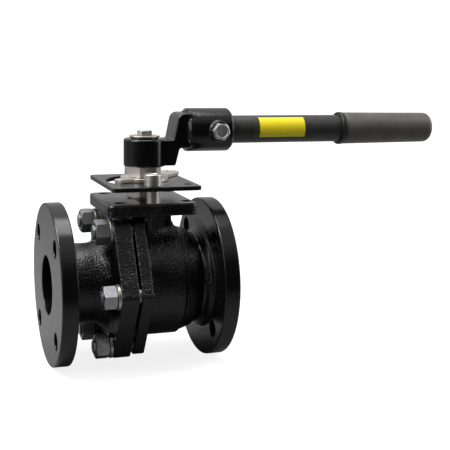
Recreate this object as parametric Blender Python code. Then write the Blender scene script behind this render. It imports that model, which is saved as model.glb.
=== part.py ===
"""Flanged two-piece ball valve, NPS 2 1/2, class 125, with a pipe lever on a quarter-turn stem.

Lengths are millimetres and are turned into metres when a mesh is made. Every shape is drawn about
the valve centre, where the stem axis (Z) crosses the flow axis (X), and hangs from one of two
empties there: "valve_centre" for what stands still, "stem_pivot" for what turns with the lever.
The world origin is the centre of the inlet flange face; +X is the flow axis, +Z runs up the stem.
"""

import math

import bmesh
import bpy
from mathutils import Matrix, Vector

MM = 0.001
GAP = 0.3                       # clearance between pieces that touch

# Overall size
FACE_TO_FACE = 190.5
INLET_TO_STEM = 108.0
OUTLET_FACE = FACE_TO_FACE - INLET_TO_STEM
INLET_FACE = -INLET_TO_STEM

# Pipe flanges
FLANGE_RADIUS = 177.8 / 2
FLANGE_THICKNESS = 17.5
PORT_RADIUS = 32.0
PORT_CLEARANCE = 0.25
PIPE_BOLT_CIRCLE = 139.7 / 2
PIPE_BOLT_HOLE = 19.05 / 2
PIPE_BOLT_ANGLES = (45, 135, 225, 315)

# Joint between the body and the end adapter
ADAPTER_JOINT_FLAT = 75.2       # flow axis to the flats of each six-sided joint flange
BODY_JOINT_FLAT = 73.2
JOINT_CORNER = 5.0
ADAPTER_JOINT = (-45.5, -26.5)
BODY_JOINT = (-23.5, -10.8)
STUD_CIRCLE = 72.0
STUD_ANGLES = (30, 90, 150, 210, 270, 330)
STUD_RADIUS = 8.0
STUD_ENDS = (-66.0, -11.1)
STUD_CLEARANCE_RADIUS = 9.0
NUT_FLATS = 24.0
NUT_HEIGHT = 14.6
NUT_TURNS = (12, 44, 30, 21, 37, 8)
SPRING_WASHER = (8.8, 13.4, 3.4)   # inner radius, outer radius, thickness
SPIGOT_RADIUS = 56.0
SPIGOT_END = -19.7
GASKET = (-19.4, -18.3)
SPIGOT_POCKET_END = -18.0

# Castings
ADAPTER_NECK = 43.8
ADAPTER_FLARE = 57.0
ADAPTER_FLARE_LENGTH = 20.0
BARREL_RADIUS = 61.8
BARREL_END = 30.5
SHOULDER = (46.0, 55.5)         # station and radius where the slope to the outlet neck steepens
BODY_NECK = 48.5
BODY_NECK_X = 56.5
FLANGE_HUB = (60.5, 56.0)
CAVITY_RADIUS = 50.5
PEDESTAL_RADIUS = 30.0
PEDESTAL_FOOT = 45.0
PAD_X = (-52.0, 45.0)
PAD_Y = (-53.0, 45.0)
PAD_Z = (79.5, 92.5)
PAD_CORNER = 7.0
PAD_BOLT_SQUARE = 36.5
PAD_BOLT_HOLE = 5.5

# Ball and seats
BALL_RADIUS = 47.5
TANG_SLOT_HALF = 5.0
TANG_SLOT_FLOOR = 40.0
SEAT_X = (30.3, 43.5)
SEAT_RADIUS = 43.0

# Stem and its seals, as heights above the flow axis
STEM_RADIUS = 9.9
STEM_SHOULDER = (48.2, 52.0, 14.0)
STEM_SQUARE_START = 111.3
STEM_TOP = 156.3
STEM_SQUARE = 14.0
THRUST_WASHER = (52.3, 54.3)
SHOULDER_POCKET = (40.0, 54.6, 14.4)
STEM_BORE = 10.3
STUFFING_BOX = (66.0, 16.2)
PACKING_BOTTOM = 66.3
PACKING_HEIGHT = 3.6
PACKING_NAMES = ("packing_ring_lower", "packing_ring_middle", "packing_ring_upper")
GLAND_RING = (78.0, 83.6)
DISC_SPRING_HEIGHT = 1.9
DISC_SPRING_SHEET = 1.1
DISC_SPRING_BOTTOM = 83.9
GLAND_SKIRT = 88.3
GLAND_HEX = (92.8, 106.2)
GLAND_FLATS = 33.0
GLAND_SPIGOT_FLATS = 25.0
GLAND_SPIGOT_TOP = 110.8

# Stop plate, stop lever, pillars
PLATE_Z = (106.5, 111.1)
PLATE_HALF_X = 48.5
PLATE_HALF_Y = 57.0
PLATE_CORNER = 5.0
PILLAR_X = -3.0
PILLAR_Y = {"front": -46.0, "rear": 38.0}
PILLAR_RADIUS = 6.7
PILLAR_Z = (92.8, 106.2)
PILLAR_SCREW_RADIUS = 4.7
PILLAR_SCREW_HEAD = (111.4, 124.0, 9.3)
PILLAR_SCREW_TIP = 84.0
TAB_RADIUS = 36.5
TAB_HALF_WIDTH = 3.6            # across the slot
TAB_HALF_ANGLE = 7.0
TAB_ANGLE = 209.0               # where the tab stands with the valve open
TRAVEL = 90.0
SLOT_HALF_WIDTH = 5.4
SLOT_END_ROOM = 1.5             # degrees past the tab at either end
STOP_LEVER_Z = (111.4, 115.4)
TAB_BOTTOM = 104.5
STOP_LEVER_RADIUS = 26.0
LOCK_HOLE_RADIUS = 4.0
LOCK_HOLE_DISTANCE = 54.2
LOCK_HOLE_ANGLE = 44.1
LOCK_END_RADIUS = 12.0
SPACER_Z = (115.7, 126.7)

# Lever
HUB_RADIUS = 22.6
HUB_Z = (127.0, 157.0)
ARM_HALF_WIDTH = 18.0
ARM_BOTTOM = 128.4
TUBE_Z = 165.8
SOCKET_RADIUS = 23.8
SOCKET_X = (44.0, 97.0)
SOCKET_CHAMFER = 3.0
SOCKET_FLOOR = 52.0
CROSS_BOLT_X = 78.0
CROSS_BOLT_RADIUS = 5.0
CROSS_BOSS = (11.0, 26.6)       # radius, distance of its face from the tube axis
CROSS_BOLT_FLATS = 17.0
CROSS_BOLT_HEAD = 6.4
CROSS_NUT_HEIGHT = 8.0
LEVER_BOLT_FLATS = 14.3
LEVER_BOLT_HEAD = (160.5, 165.8)
LEVER_BOLT_TIP = 138.0
LEVER_BOLT_RADIUS = 4.0
LOCK_WASHER = (157.3, 158.4, 15.0)
LEVER_WASHER = (158.7, 160.2, 16.6)
TUBE_RADIUS = 15.4
TUBE_BORE = 12.8
TUBE_ENDS = (52.4, 346.3)
GRIP_ENDS = (231.8, 352.8)
GRIP_LIP = 18.7
GRIP_RADII = (18.2, 17.3)
LABEL_X = (121.0, 184.5)
LABEL_RADII = (15.7, 16.1)
LABEL_SPAN = (32, 120)          # degrees from the top of the tube, towards the front

# Facets round a full turn
FINE = 48
MEDIUM = 32
COARSE = 16

X, Y, Z = Vector((1, 0, 0)), Vector((0, 1, 0)), Vector((0, 0, 1))


# ------------------------------------------------------------------ scene, materials, objects

def clear_scene():
    for item in list(bpy.data.objects):
        bpy.data.objects.remove(item, do_unlink=True)


def material(name, colour, roughness, metallic):
    made = bpy.data.materials.new(name)
    made.use_nodes = True
    shader = made.node_tree.nodes["Principled BSDF"]
    shader.inputs["Base Color"].default_value = (*colour, 1.0)
    shader.inputs["Roughness"].default_value = roughness
    shader.inputs["Metallic"].default_value = metallic
    made.diffuse_color = (*colour, 1.0)
    return made


def pivot(name):
    empty = bpy.data.objects.new(name, None)
    empty.location = (INLET_TO_STEM * MM, 0, 0)
    bpy.context.collection.objects.link(empty)
    return empty


def finish_object(name, bm, parent, look=None):
    """Turn a millimetre bmesh into an object in metres, hanging from one of the two empties."""
    bmesh.ops.remove_doubles(bm, verts=bm.verts, dist=1e-4)
    bmesh.ops.recalc_face_normals(bm, faces=bm.faces)
    bmesh.ops.scale(bm, vec=(MM, MM, MM), verts=bm.verts)
    mesh = bpy.data.meshes.new(name)
    bm.to_mesh(mesh)
    bm.free()
    mesh.shade_smooth()
    mesh.set_sharp_from_angle(angle=math.radians(35))
    item = bpy.data.objects.new(name, mesh)
    item.parent = parent
    bpy.context.collection.objects.link(item)
    if look is None:
        item.hide_render = True
        item.display_type = 'WIRE'
    else:
        mesh.materials.append(look)
    return item


def boolean(item, tool, operation):
    modifier = item.modifiers.new(tool.name, 'BOOLEAN')
    modifier.operation = operation
    modifier.solver = 'EXACT'
    modifier.object = tool
    return item


# ------------------------------------------------------------------ shapes (bmesh, millimetres)

def turned(profile, axis, segments, closed=True):
    """Spin (station, radius) points about an axis. An open profile starts and ends on the axis."""
    bm = bmesh.new()
    side = Z if axis is X else X
    points = [bm.verts.new(axis * station + side * radius) for station, radius in profile]
    for first, second in zip(points, points[1:]):
        bm.edges.new((first, second))
    if closed:
        bm.edges.new((points[-1], points[0]))
    bmesh.ops.spin(bm, geom=bm.verts[:] + bm.edges[:], cent=(0, 0, 0), axis=axis,
                   angle=math.tau, steps=segments, use_merge=True)
    bmesh.ops.remove_doubles(bm, verts=bm.verts, dist=1e-4)
    return bm


def move(bm, offset):
    bmesh.ops.translate(bm, verts=bm.verts, vec=offset)
    return bm


def ring(inner, outer, start, end, axis, segments):
    return turned([(start, inner), (start, outer), (end, outer), (end, inner)], axis, segments)


def prism(outline, axis, start, end):
    """Extrude a flat outline of 2-D points: (y, z) along X, (x, z) along Y, (x, y) along Z."""
    bm = bmesh.new()
    add_prism(bm, outline, axis, start, end)
    return bm


def add_prism(bm, outline, axis, start, end):
    place = {0: lambda a, b: Vector((start, a, b)),
             1: lambda a, b: Vector((a, start, b)),
             2: lambda a, b: Vector((a, b, start))}[(X, Y, Z).index(axis)]
    face = bm.faces.new([bm.verts.new(place(a, b)) for a, b in outline])
    grown = bmesh.ops.extrude_face_region(bm, geom=[face])["geom"]
    moved = [part for part in grown if isinstance(part, bmesh.types.BMVert)]
    bmesh.ops.translate(bm, verts=moved, vec=axis * (end - start))


def add_rod(bm, radius, start, end, segments):
    """A closed cylinder between two points."""
    start, end = Vector(start), Vector(end)
    along = end - start
    turn = along.to_track_quat('Z', 'Y').to_matrix().to_4x4()
    bmesh.ops.create_cone(bm, cap_ends=True, segments=segments, radius1=radius, radius2=radius,
                          depth=along.length,
                          matrix=Matrix.Translation((start + end) / 2) @ turn)


def arc(centre, radius, first, last, steps):
    """Points on a circle, angles in degrees from the first coordinate axis."""
    angles = [math.radians(first + (last - first) * i / steps) for i in range(steps + 1)]
    return [(centre[0] + radius * math.cos(a), centre[1] + radius * math.sin(a)) for a in angles]


def rounded_rectangle(low_a, high_a, low_b, high_b, radius, steps=5):
    corners = ((high_a - radius, high_b - radius, 0), (low_a + radius, high_b - radius, 90),
               (low_a + radius, low_b + radius, 180), (high_a - radius, low_b + radius, 270))
    points = []
    for a, b, angle in corners:
        points += arc((a, b), radius, angle, angle + 90, steps)
    return points


def hexagon(flats, turn=0.0):
    return arc((0, 0), flats / math.sqrt(3), turn, turn + 300, 5)


def rounded_hexagon(flat, radius, steps=4):
    """Corners at 0, 60 ... degrees; flat is the distance from the centre to a side."""
    distance = (flat - radius) / math.cos(math.radians(30))
    points = []
    for angle in range(0, 360, 60):
        a = math.radians(angle)
        points += arc((distance * math.cos(a), distance * math.sin(a)), radius,
                      angle - 30, angle + 30, steps)
    return points


def on_circle(radius, angle):
    """(y, z) of a point round the flow axis, angle in degrees from +Z towards the front (-Y)."""
    a = math.radians(angle)
    return -radius * math.sin(a), radius * math.cos(a)


def add_ring_of_holes(bm, circle, angles, radius, start, end, segments):
    for angle in angles:
        y, z = on_circle(circle, angle)
        add_rod(bm, radius, (start, y, z), (end, y, z), segments)


# ------------------------------------------------------------------ castings

def flange_profile(face, back):
    """Outer corner points of a pipe flange rim with a small chamfer, from face to back."""
    sign = 1 if back > face else -1
    chamfer = 1.0
    return [(face, FLANGE_RADIUS - chamfer), (face + sign * chamfer, FLANGE_RADIUS),
            (back - sign * chamfer, FLANGE_RADIUS), (back, FLANGE_RADIUS - chamfer)]


def body_casting(parent, look):
    back = OUTLET_FACE - FLANGE_THICKNESS
    profile = [(BODY_JOINT[0] + 3, 0), (BODY_JOINT[0] + 3, BARREL_RADIUS)]
    profile += [(BARREL_END, BARREL_RADIUS), (BARREL_END + 1.5, BARREL_RADIUS - 1.2), SHOULDER]
    profile += arc((BODY_NECK_X, BODY_NECK + 3), 3, 225, 290, 3)
    profile += [FLANGE_HUB, (back - 1, FLANGE_HUB[1]), (back, FLANGE_HUB[1] + 1)]
    profile += flange_profile(OUTLET_FACE, back)[::-1]
    profile += [(OUTLET_FACE, 0)]
    item = finish_object("body_casting", turned(profile, X, FINE, closed=False), parent, look)

    joint = prism(rounded_hexagon(BODY_JOINT_FLAT, JOINT_CORNER), X, *BODY_JOINT)
    boolean(item, finish_object("body_joint_flange", joint, parent), 'UNION')
    cut_angle = math.degrees(math.acos((BODY_JOINT[0] + 1.5) / PEDESTAL_RADIUS))
    pedestal = prism(arc((0, 0), PEDESTAL_RADIUS, -cut_angle, cut_angle, 20), Z,
                     PEDESTAL_FOOT, PAD_Z[0] + 2)
    boolean(item, finish_object("body_pedestal", pedestal, parent), 'UNION')
    web = prism(rounded_rectangle(BODY_JOINT[0] + 1, 0, -38, 38, 4, 2), Z, 60, PAD_Z[0] + 1)
    boolean(item, finish_object("body_web", web, parent), 'UNION')
    pad = prism(rounded_rectangle(*PAD_X, *PAD_Y, PAD_CORNER), Z, *PAD_Z)
    boolean(item, finish_object("body_pad", pad, parent), 'UNION')

    low, high, radius = SHOULDER_POCKET
    box_floor, box_radius = STUFFING_BOX
    stem_way = turned([(low, 0), (low, radius), (high, radius), (high, STEM_BORE),
                       (box_floor, STEM_BORE), (box_floor, box_radius),
                       (PAD_Z[1] + 1, box_radius), (PAD_Z[1] + 1, 0)], Z, MEDIUM, closed=False)
    for y in PILLAR_Y.values():
        add_rod(stem_way, PILLAR_SCREW_RADIUS + GAP, (PILLAR_X, y, PILLAR_SCREW_TIP - 1),
                (PILLAR_X, y, PAD_Z[1] + 1), COARSE)
    for x in (-PAD_BOLT_SQUARE, PAD_BOLT_SQUARE):
        for y in (-PAD_BOLT_SQUARE, PAD_BOLT_SQUARE):
            add_rod(stem_way, PAD_BOLT_HOLE, (x, y, PAD_Z[0] - 1), (x, y, PAD_Z[1] + 1), COARSE)
    boolean(item, finish_object("body_stem_way", stem_way, parent), 'DIFFERENCE')

    cavity = turned([(BODY_JOINT[0] - 1, 0), (BODY_JOINT[0] - 1, SPIGOT_RADIUS + GAP),
                     (SPIGOT_POCKET_END, SPIGOT_RADIUS + GAP), (SPIGOT_POCKET_END, CAVITY_RADIUS),
                     (SEAT_X[0] - 1, CAVITY_RADIUS), (SEAT_X[0] - 1, SEAT_RADIUS + GAP),
                     (SEAT_X[1] + GAP, SEAT_RADIUS + GAP),
                     (SEAT_X[1] + GAP, PORT_RADIUS + PORT_CLEARANCE),
                     (OUTLET_FACE + 1, PORT_RADIUS + PORT_CLEARANCE), (OUTLET_FACE + 1, 0)],
                    X, FINE, closed=False)
    add_ring_of_holes(cavity, PIPE_BOLT_CIRCLE, PIPE_BOLT_ANGLES, PIPE_BOLT_HOLE,
                      back - 1, OUTLET_FACE + 1, COARSE)
    add_ring_of_holes(cavity, STUD_CIRCLE, STUD_ANGLES, STUD_RADIUS + GAP,
                      BODY_JOINT[0] - 1, BODY_JOINT[1] + 1, COARSE)
    boolean(item, finish_object("body_hollows", cavity, parent), 'DIFFERENCE')
    return item


def end_adapter(parent, look):
    back = INLET_FACE + FLANGE_THICKNESS
    flare_start = ADAPTER_JOINT[0] - ADAPTER_FLARE_LENGTH
    rise = ADAPTER_FLARE - ADAPTER_NECK
    flare_radius = (ADAPTER_FLARE_LENGTH ** 2 + rise ** 2) / (2 * rise)
    flare_angle = math.degrees(math.asin(ADAPTER_FLARE_LENGTH / flare_radius))
    profile = [(INLET_FACE, 0)]
    profile += flange_profile(INLET_FACE, back)
    profile += arc((back + 4, ADAPTER_NECK + 4), 4, 180, 270, 4)
    profile += arc((flare_start, ADAPTER_NECK + flare_radius), flare_radius,
                   270, 270 + flare_angle, 6)
    profile += [(ADAPTER_JOINT[0] + 2, ADAPTER_FLARE), (ADAPTER_JOINT[1] - 2, SPIGOT_RADIUS),
                (SPIGOT_END, SPIGOT_RADIUS), (SPIGOT_END, 0)]
    item = finish_object("end_adapter", turned(profile, X, FINE, closed=False), parent, look)

    joint = prism(rounded_hexagon(ADAPTER_JOINT_FLAT, JOINT_CORNER), X, *ADAPTER_JOINT)
    boolean(item, finish_object("adapter_joint_flange", joint, parent), 'UNION')

    cavity = turned([(INLET_FACE - 1, 0), (INLET_FACE - 1, PORT_RADIUS + PORT_CLEARANCE),
                     (-SEAT_X[1] - GAP, PORT_RADIUS + PORT_CLEARANCE),
                     (-SEAT_X[1] - GAP, SEAT_RADIUS + GAP), (-SEAT_X[0] + 1, SEAT_RADIUS + GAP),
                     (-SEAT_X[0] + 1, CAVITY_RADIUS), (SPIGOT_END + 1, CAVITY_RADIUS),
                     (SPIGOT_END + 1, 0)], X, FINE, closed=False)
    add_ring_of_holes(cavity, PIPE_BOLT_CIRCLE, PIPE_BOLT_ANGLES, PIPE_BOLT_HOLE,
                      INLET_FACE - 1, back + 1, COARSE)
    add_ring_of_holes(cavity, STUD_CIRCLE, STUD_ANGLES, STUD_CLEARANCE_RADIUS,
                      ADAPTER_JOINT[0] - 1, ADAPTER_JOINT[1] + 1, COARSE)
    boolean(item, finish_object("adapter_hollows", cavity, parent), 'DIFFERENCE')
    return item


# ------------------------------------------------------------------ ball, seats, stem and seals

def ball(parent, look):
    half_angle = math.degrees(math.asin(PORT_RADIUS / BALL_RADIUS))
    profile = arc((0, 0), BALL_RADIUS, 180 - half_angle, half_angle, 12)
    item = finish_object("ball", turned(profile, X, FINE), parent, look)
    slot = rounded_rectangle(-TANG_SLOT_HALF, TANG_SLOT_HALF, TANG_SLOT_FLOOR, 60, 1.0, 2)
    boolean(item, finish_object("ball_slot", prism(slot, Y, -60, 60), parent), 'DIFFERENCE')
    return item


def seat(name, side, parent, look):
    """A seat ring whose front follows the ball; side is +1 for the outlet, -1 for the inlet."""
    inner = PORT_RADIUS + GAP
    touch = BALL_RADIUS + GAP
    last = math.degrees(math.acos(SEAT_X[0] / touch))
    first = math.degrees(math.asin(inner / touch))
    profile = [(SEAT_X[1], inner)] + arc((0, 0), touch, first, last, 2)
    profile += [(SEAT_X[0], SEAT_RADIUS), (SEAT_X[1], SEAT_RADIUS)]
    profile = [(side * station, radius) for station, radius in profile]
    return finish_object(name, turned(profile, X, FINE), parent, look)


def body_gasket(parent, look):
    bm = ring(CAVITY_RADIUS + GAP, SPIGOT_RADIUS, *GASKET, X, FINE)
    return finish_object("body_gasket", bm, parent, look)


def stem(parent, look):
    low, high, radius = STEM_SHOULDER
    shaft = turned([(low, 0), (low, radius), (high, radius), (high, STEM_RADIUS),
                    (STEM_SQUARE_START, STEM_RADIUS), (STEM_SQUARE_START, 0)],
                   Z, MEDIUM, closed=False)
    item = finish_object("stem", shaft, parent, look)
    half = STEM_SQUARE / 2
    square = prism(rounded_rectangle(-half, half, -half, half, 0.6, 1), Z,
                   STEM_SQUARE_START - 1, STEM_TOP)
    boolean(item, finish_object("stem_square", square, parent), 'UNION')
    thick = TANG_SLOT_HALF - GAP
    tang = prism(rounded_rectangle(-thick, thick, -12, 12, 0.8, 1), Z,
                 TANG_SLOT_FLOOR + GAP, low + 1)
    boolean(item, finish_object("stem_tang", tang, parent), 'UNION')
    tapping = bmesh.new()
    add_rod(tapping, LEVER_BOLT_RADIUS + GAP, (0, 0, LEVER_BOLT_TIP - 1), (0, 0, STEM_TOP + 1),
            COARSE)
    boolean(item, finish_object("stem_tapping", tapping, parent), 'DIFFERENCE')
    return item


def stem_seals(parent, looks):
    bm = ring(STEM_BORE, STEM_SHOULDER[2], *THRUST_WASHER, Z, MEDIUM)
    finish_object("stem_thrust_washer", bm, parent, looks["ptfe"])
    outer = STUFFING_BOX[1] - GAP
    bottom = PACKING_BOTTOM
    for name in PACKING_NAMES:
        dish = 1.0                   # chevron rings nest with this much of a vee
        middle = (STEM_BORE + outer) / 2
        profile = [(bottom, STEM_BORE), (bottom + dish, middle), (bottom, outer),
                   (bottom + PACKING_HEIGHT - dish, outer), (bottom + PACKING_HEIGHT, middle),
                   (bottom + PACKING_HEIGHT - dish, STEM_BORE)]
        finish_object(name, turned(profile, Z, MEDIUM), parent, looks["ptfe"])
        bottom += PACKING_HEIGHT + GAP
    bm = ring(STEM_BORE, outer, *GLAND_RING, Z, MEDIUM)
    finish_object("gland_ring", bm, parent, looks["stainless"])
    bottom = DISC_SPRING_BOTTOM
    for name, cupped_up in (("disc_spring_lower", True), ("disc_spring_upper", False)):
        inner_low = bottom if cupped_up else bottom + DISC_SPRING_HEIGHT - DISC_SPRING_SHEET
        outer_low = bottom + DISC_SPRING_HEIGHT - DISC_SPRING_SHEET if cupped_up else bottom
        profile = [(inner_low, STEM_BORE + GAP), (outer_low, outer - GAP),
                   (outer_low + DISC_SPRING_SHEET, outer - GAP),
                   (inner_low + DISC_SPRING_SHEET, STEM_BORE + GAP)]
        finish_object(name, turned(profile, Z, MEDIUM), parent, looks["spring_steel"])
        bottom += DISC_SPRING_HEIGHT + GAP


def gland_nut(parent, look):
    outer = STUFFING_BOX[1] - GAP
    item = finish_object("gland_nut", prism(hexagon(GLAND_FLATS), Z, *GLAND_HEX), parent, look)
    skirt = bmesh.new()
    add_rod(skirt, outer, (0, 0, GLAND_SKIRT), (0, 0, GLAND_HEX[0] + 1), MEDIUM)
    boolean(item, finish_object("gland_skirt", skirt, parent), 'UNION')
    spigot = prism(hexagon(GLAND_SPIGOT_FLATS), Z, GLAND_HEX[1] - 1, GLAND_SPIGOT_TOP)
    boolean(item, finish_object("gland_spigot", spigot, parent), 'UNION')
    bore = bmesh.new()
    add_rod(bore, STEM_BORE, (0, 0, GLAND_SKIRT - 1), (0, 0, GLAND_SPIGOT_TOP + 1), MEDIUM)
    boolean(item, finish_object("gland_bore", bore, parent), 'DIFFERENCE')
    return item


# ------------------------------------------------------------------ stop plate and stop lever

def polar(radius, angle):
    a = math.radians(angle)
    return radius * math.cos(a), radius * math.sin(a)


def arc_slot(radius, half_width, first, last, steps=12):
    """Outline of a curved slot round the stem, square ended, angles in degrees."""
    outer = arc((0, 0), radius + half_width, first, last, steps)
    inner = arc((0, 0), radius - half_width, last, first, steps)
    return outer + inner


def stop_plate(parent, look):
    outline = rounded_rectangle(-PLATE_HALF_X, PLATE_HALF_X, -PLATE_HALF_Y, PLATE_HALF_Y,
                                PLATE_CORNER)
    item = finish_object("stop_plate", prism(outline, Z, *PLATE_Z), parent, look)
    low, high = PLATE_Z[0] - 1, PLATE_Z[1] + 1
    cutter = bmesh.new()
    add_prism(cutter, hexagon(GLAND_SPIGOT_FLATS + 2 * GAP), Z, low, high)
    room = TAB_HALF_ANGLE + SLOT_END_ROOM
    slot = arc_slot(TAB_RADIUS, SLOT_HALF_WIDTH, TAB_ANGLE - TRAVEL - room, TAB_ANGLE + room)
    add_prism(cutter, slot, Z, low, high)
    for y in PILLAR_Y.values():
        add_rod(cutter, PILLAR_SCREW_RADIUS + GAP, (PILLAR_X, y, low), (PILLAR_X, y, high),
                COARSE)
    for angle in (LOCK_HOLE_ANGLE, LOCK_HOLE_ANGLE - TRAVEL):
        x, y = polar(LOCK_HOLE_DISTANCE, angle)
        add_rod(cutter, LOCK_HOLE_RADIUS, (x, y, low), (x, y, high), COARSE)
    boolean(item, finish_object("stop_plate_holes", cutter, parent), 'DIFFERENCE')
    return item


def stop_lever(parent, look):
    """A flat blade with a padlock arm, and an arm whose end turns down into the plate's slot."""
    outline = arc((0, 0), STOP_LEVER_RADIUS, -105, 0, 8) + [(30.0, 9.0)]
    outline += arc(polar(LOCK_HOLE_DISTANCE, LOCK_HOLE_ANGLE), LOCK_END_RADIUS,
                   LOCK_HOLE_ANGLE - 80, LOCK_HOLE_ANGLE + 90, 8)
    outline += arc((0, 0), STOP_LEVER_RADIUS, LOCK_HOLE_ANGLE + 40, TAB_ANGLE - 16, 6)
    reach = TAB_RADIUS + TAB_HALF_WIDTH
    outline += arc((0, 0), reach, TAB_ANGLE - TAB_HALF_ANGLE, TAB_ANGLE + TAB_HALF_ANGLE, 3)
    outline += arc((0, 0), STOP_LEVER_RADIUS, TAB_ANGLE + 20, 247, 2)
    item = finish_object("stop_lever", prism(outline, Z, *STOP_LEVER_Z), parent, look)
    tab = prism(arc_slot(TAB_RADIUS, TAB_HALF_WIDTH - 0.2, TAB_ANGLE - TAB_HALF_ANGLE,
                         TAB_ANGLE + TAB_HALF_ANGLE, 3), Z, TAB_BOTTOM, STOP_LEVER_Z[0] + 1)
    boolean(item, finish_object("stop_lever_tab", tab, parent), 'UNION')
    low, high = STOP_LEVER_Z[0] - 1, STOP_LEVER_Z[1] + 1
    half = STEM_SQUARE / 2 + GAP
    holes = prism(rounded_rectangle(-half, half, -half, half, 0.6, 1), Z, low, high)
    x, y = polar(LOCK_HOLE_DISTANCE, LOCK_HOLE_ANGLE)
    add_rod(holes, LOCK_HOLE_RADIUS, (x, y, low), (x, y, high), COARSE)
    boolean(item, finish_object("stop_lever_holes", holes, parent), 'DIFFERENCE')
    return item


def lever_spacer(parent, look):
    """Hexagonal spacer on the stem's square, between the stop lever and the lever hub."""
    item = finish_object("lever_spacer", prism(hexagon(GLAND_FLATS), Z, *SPACER_Z), parent, look)
    half = STEM_SQUARE / 2 + GAP
    hole = prism(rounded_rectangle(-half, half, -half, half, 0.6, 1), Z,
                 SPACER_Z[0] - 1, SPACER_Z[1] + 1)
    boolean(item, finish_object("lever_spacer_hole", hole, parent), 'DIFFERENCE')
    return item


def plate_pillar(place, y, parent, looks):
    """A spacer sleeve under the stop plate and the long screw through it, into the pad."""
    bm = ring(PILLAR_SCREW_RADIUS + GAP, PILLAR_RADIUS, *PILLAR_Z, Z, COARSE)
    finish_object(f"plate_pillar_{place}", move(bm, (PILLAR_X, y, 0)), parent, looks["stainless"])
    low, high, radius = PILLAR_SCREW_HEAD
    socket_floor = high - 5.0
    socket = 4.4
    profile = [(PILLAR_SCREW_TIP, 0), (PILLAR_SCREW_TIP, PILLAR_SCREW_RADIUS),
               (low, PILLAR_SCREW_RADIUS), (low, radius), (high - 1, radius), (high, radius - 1),
               (high, socket), (socket_floor, socket), (socket_floor, 0)]
    bm = move(turned(profile, Z, COARSE, closed=False), (PILLAR_X, y, 0))
    finish_object(f"plate_screw_{place}", bm, parent, looks["stainless"])


# ------------------------------------------------------------------ lever

def lever_casting(parent, look):
    """Hub on the stem's square, cranked arm, and the socket that takes the tube."""
    hub = turned([(HUB_Z[0], 0), (HUB_Z[0], HUB_RADIUS - 1.2), (HUB_Z[0] + 1.2, HUB_RADIUS),
                  (HUB_Z[1] - 1.2, HUB_RADIUS), (HUB_Z[1], HUB_RADIUS - 1.2), (HUB_Z[1], 0)],
                 Z, MEDIUM, closed=False)
    item = finish_object("lever_casting", hub, parent, look)

    side = [(4, ARM_BOTTOM), (30.8, ARM_BOTTOM), (35.4, 147.5), (46, 147.5), (50, 152),
            (50, 180), (48, 184.8)]
    side += arc((41, 176.5), 8.3, 92, 170, 4)
    side += [(28.2, 156.4), (4, 156.4)]
    arm = prism(side, Y, -ARM_HALF_WIDTH, ARM_HALF_WIDTH)
    boolean(item, finish_object("lever_arm", arm, parent), 'UNION')

    start, end = SOCKET_X
    socket = turned([(start, 0), (start, SOCKET_RADIUS - SOCKET_CHAMFER),
                     (start + SOCKET_CHAMFER, SOCKET_RADIUS),
                     (end - SOCKET_CHAMFER, SOCKET_RADIUS),
                     (end, SOCKET_RADIUS - SOCKET_CHAMFER), (end, 0)], X, MEDIUM, closed=False)
    move(socket, (0, 0, TUBE_Z))
    boolean(item, finish_object("lever_socket", socket, parent), 'UNION')

    radius, reach = CROSS_BOSS
    boss = bmesh.new()
    add_rod(boss, radius, (CROSS_BOLT_X, -reach, TUBE_Z), (CROSS_BOLT_X, reach, TUBE_Z), COARSE)
    boolean(item, finish_object("lever_boss", boss, parent), 'UNION')

    half = STEM_SQUARE / 2 + GAP
    square = prism(rounded_rectangle(-half, half, -half, half, 0.6, 1), Z,
                   HUB_Z[0] - 1, HUB_Z[1] + 1)
    boolean(item, finish_object("lever_square_hole", square, parent), 'DIFFERENCE')
    cross = bmesh.new()
    add_rod(cross, CROSS_BOLT_RADIUS + GAP, (CROSS_BOLT_X, -reach - 1, TUBE_Z),
            (CROSS_BOLT_X, reach + 1, TUBE_Z), COARSE)
    boolean(item, finish_object("lever_cross_hole", cross, parent), 'DIFFERENCE')
    bore = bmesh.new()
    add_rod(bore, TUBE_RADIUS + GAP, (SOCKET_FLOOR, 0, TUBE_Z), (end + 1, 0, TUBE_Z), MEDIUM)
    boolean(item, finish_object("lever_tube_bore", bore, parent), 'DIFFERENCE')
    return item


def handle_tube(parent, look):
    bm = ring(TUBE_BORE, TUBE_RADIUS, *TUBE_ENDS, X, MEDIUM)
    item = finish_object("handle_tube", move(bm, (0, 0, TUBE_Z)), parent, look)
    cross = bmesh.new()
    add_rod(cross, CROSS_BOLT_RADIUS + GAP, (CROSS_BOLT_X, -20, TUBE_Z),
            (CROSS_BOLT_X, 20, TUBE_Z), COARSE)
    boolean(item, finish_object("tube_cross_hole", cross, parent), 'DIFFERENCE')
    return item


def handle_grip(parent, look):
    start, end = GRIP_ENDS
    wide, slim = GRIP_RADII
    corner = 8.0
    profile = [(start, 0), (start, GRIP_LIP - 0.8), (start + 0.8, GRIP_LIP),
               (start + 4.2, GRIP_LIP), (start + 5.2, wide - 0.5), (start + 7.2, wide - 0.5),
               (start + 8.2, wide)]
    profile += arc((end - corner, slim - corner), corner, 90, 0, 6)
    profile += [(end, 0)]
    outer = turned(profile, X, MEDIUM, closed=False)
    item = finish_object("handle_grip", move(outer, (0, 0, TUBE_Z)), parent, look)
    bore = bmesh.new()
    add_rod(bore, TUBE_RADIUS + GAP, (start - 1, 0, TUBE_Z), (TUBE_ENDS[1] + GAP, 0, TUBE_Z),
            MEDIUM)
    boolean(item, finish_object("grip_bore", bore, parent), 'DIFFERENCE')
    return item


def handle_label(parent, look):
    """A thin sticker bent round the front of the tube, left blank."""
    inner, outer = LABEL_RADII
    first, last = (90 + angle for angle in LABEL_SPAN)
    outline = arc((0, TUBE_Z), outer, first, last, 12) + arc((0, TUBE_Z), inner, last, first, 12)
    return finish_object("handle_label", prism(outline, X, *LABEL_X), parent, look)


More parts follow.
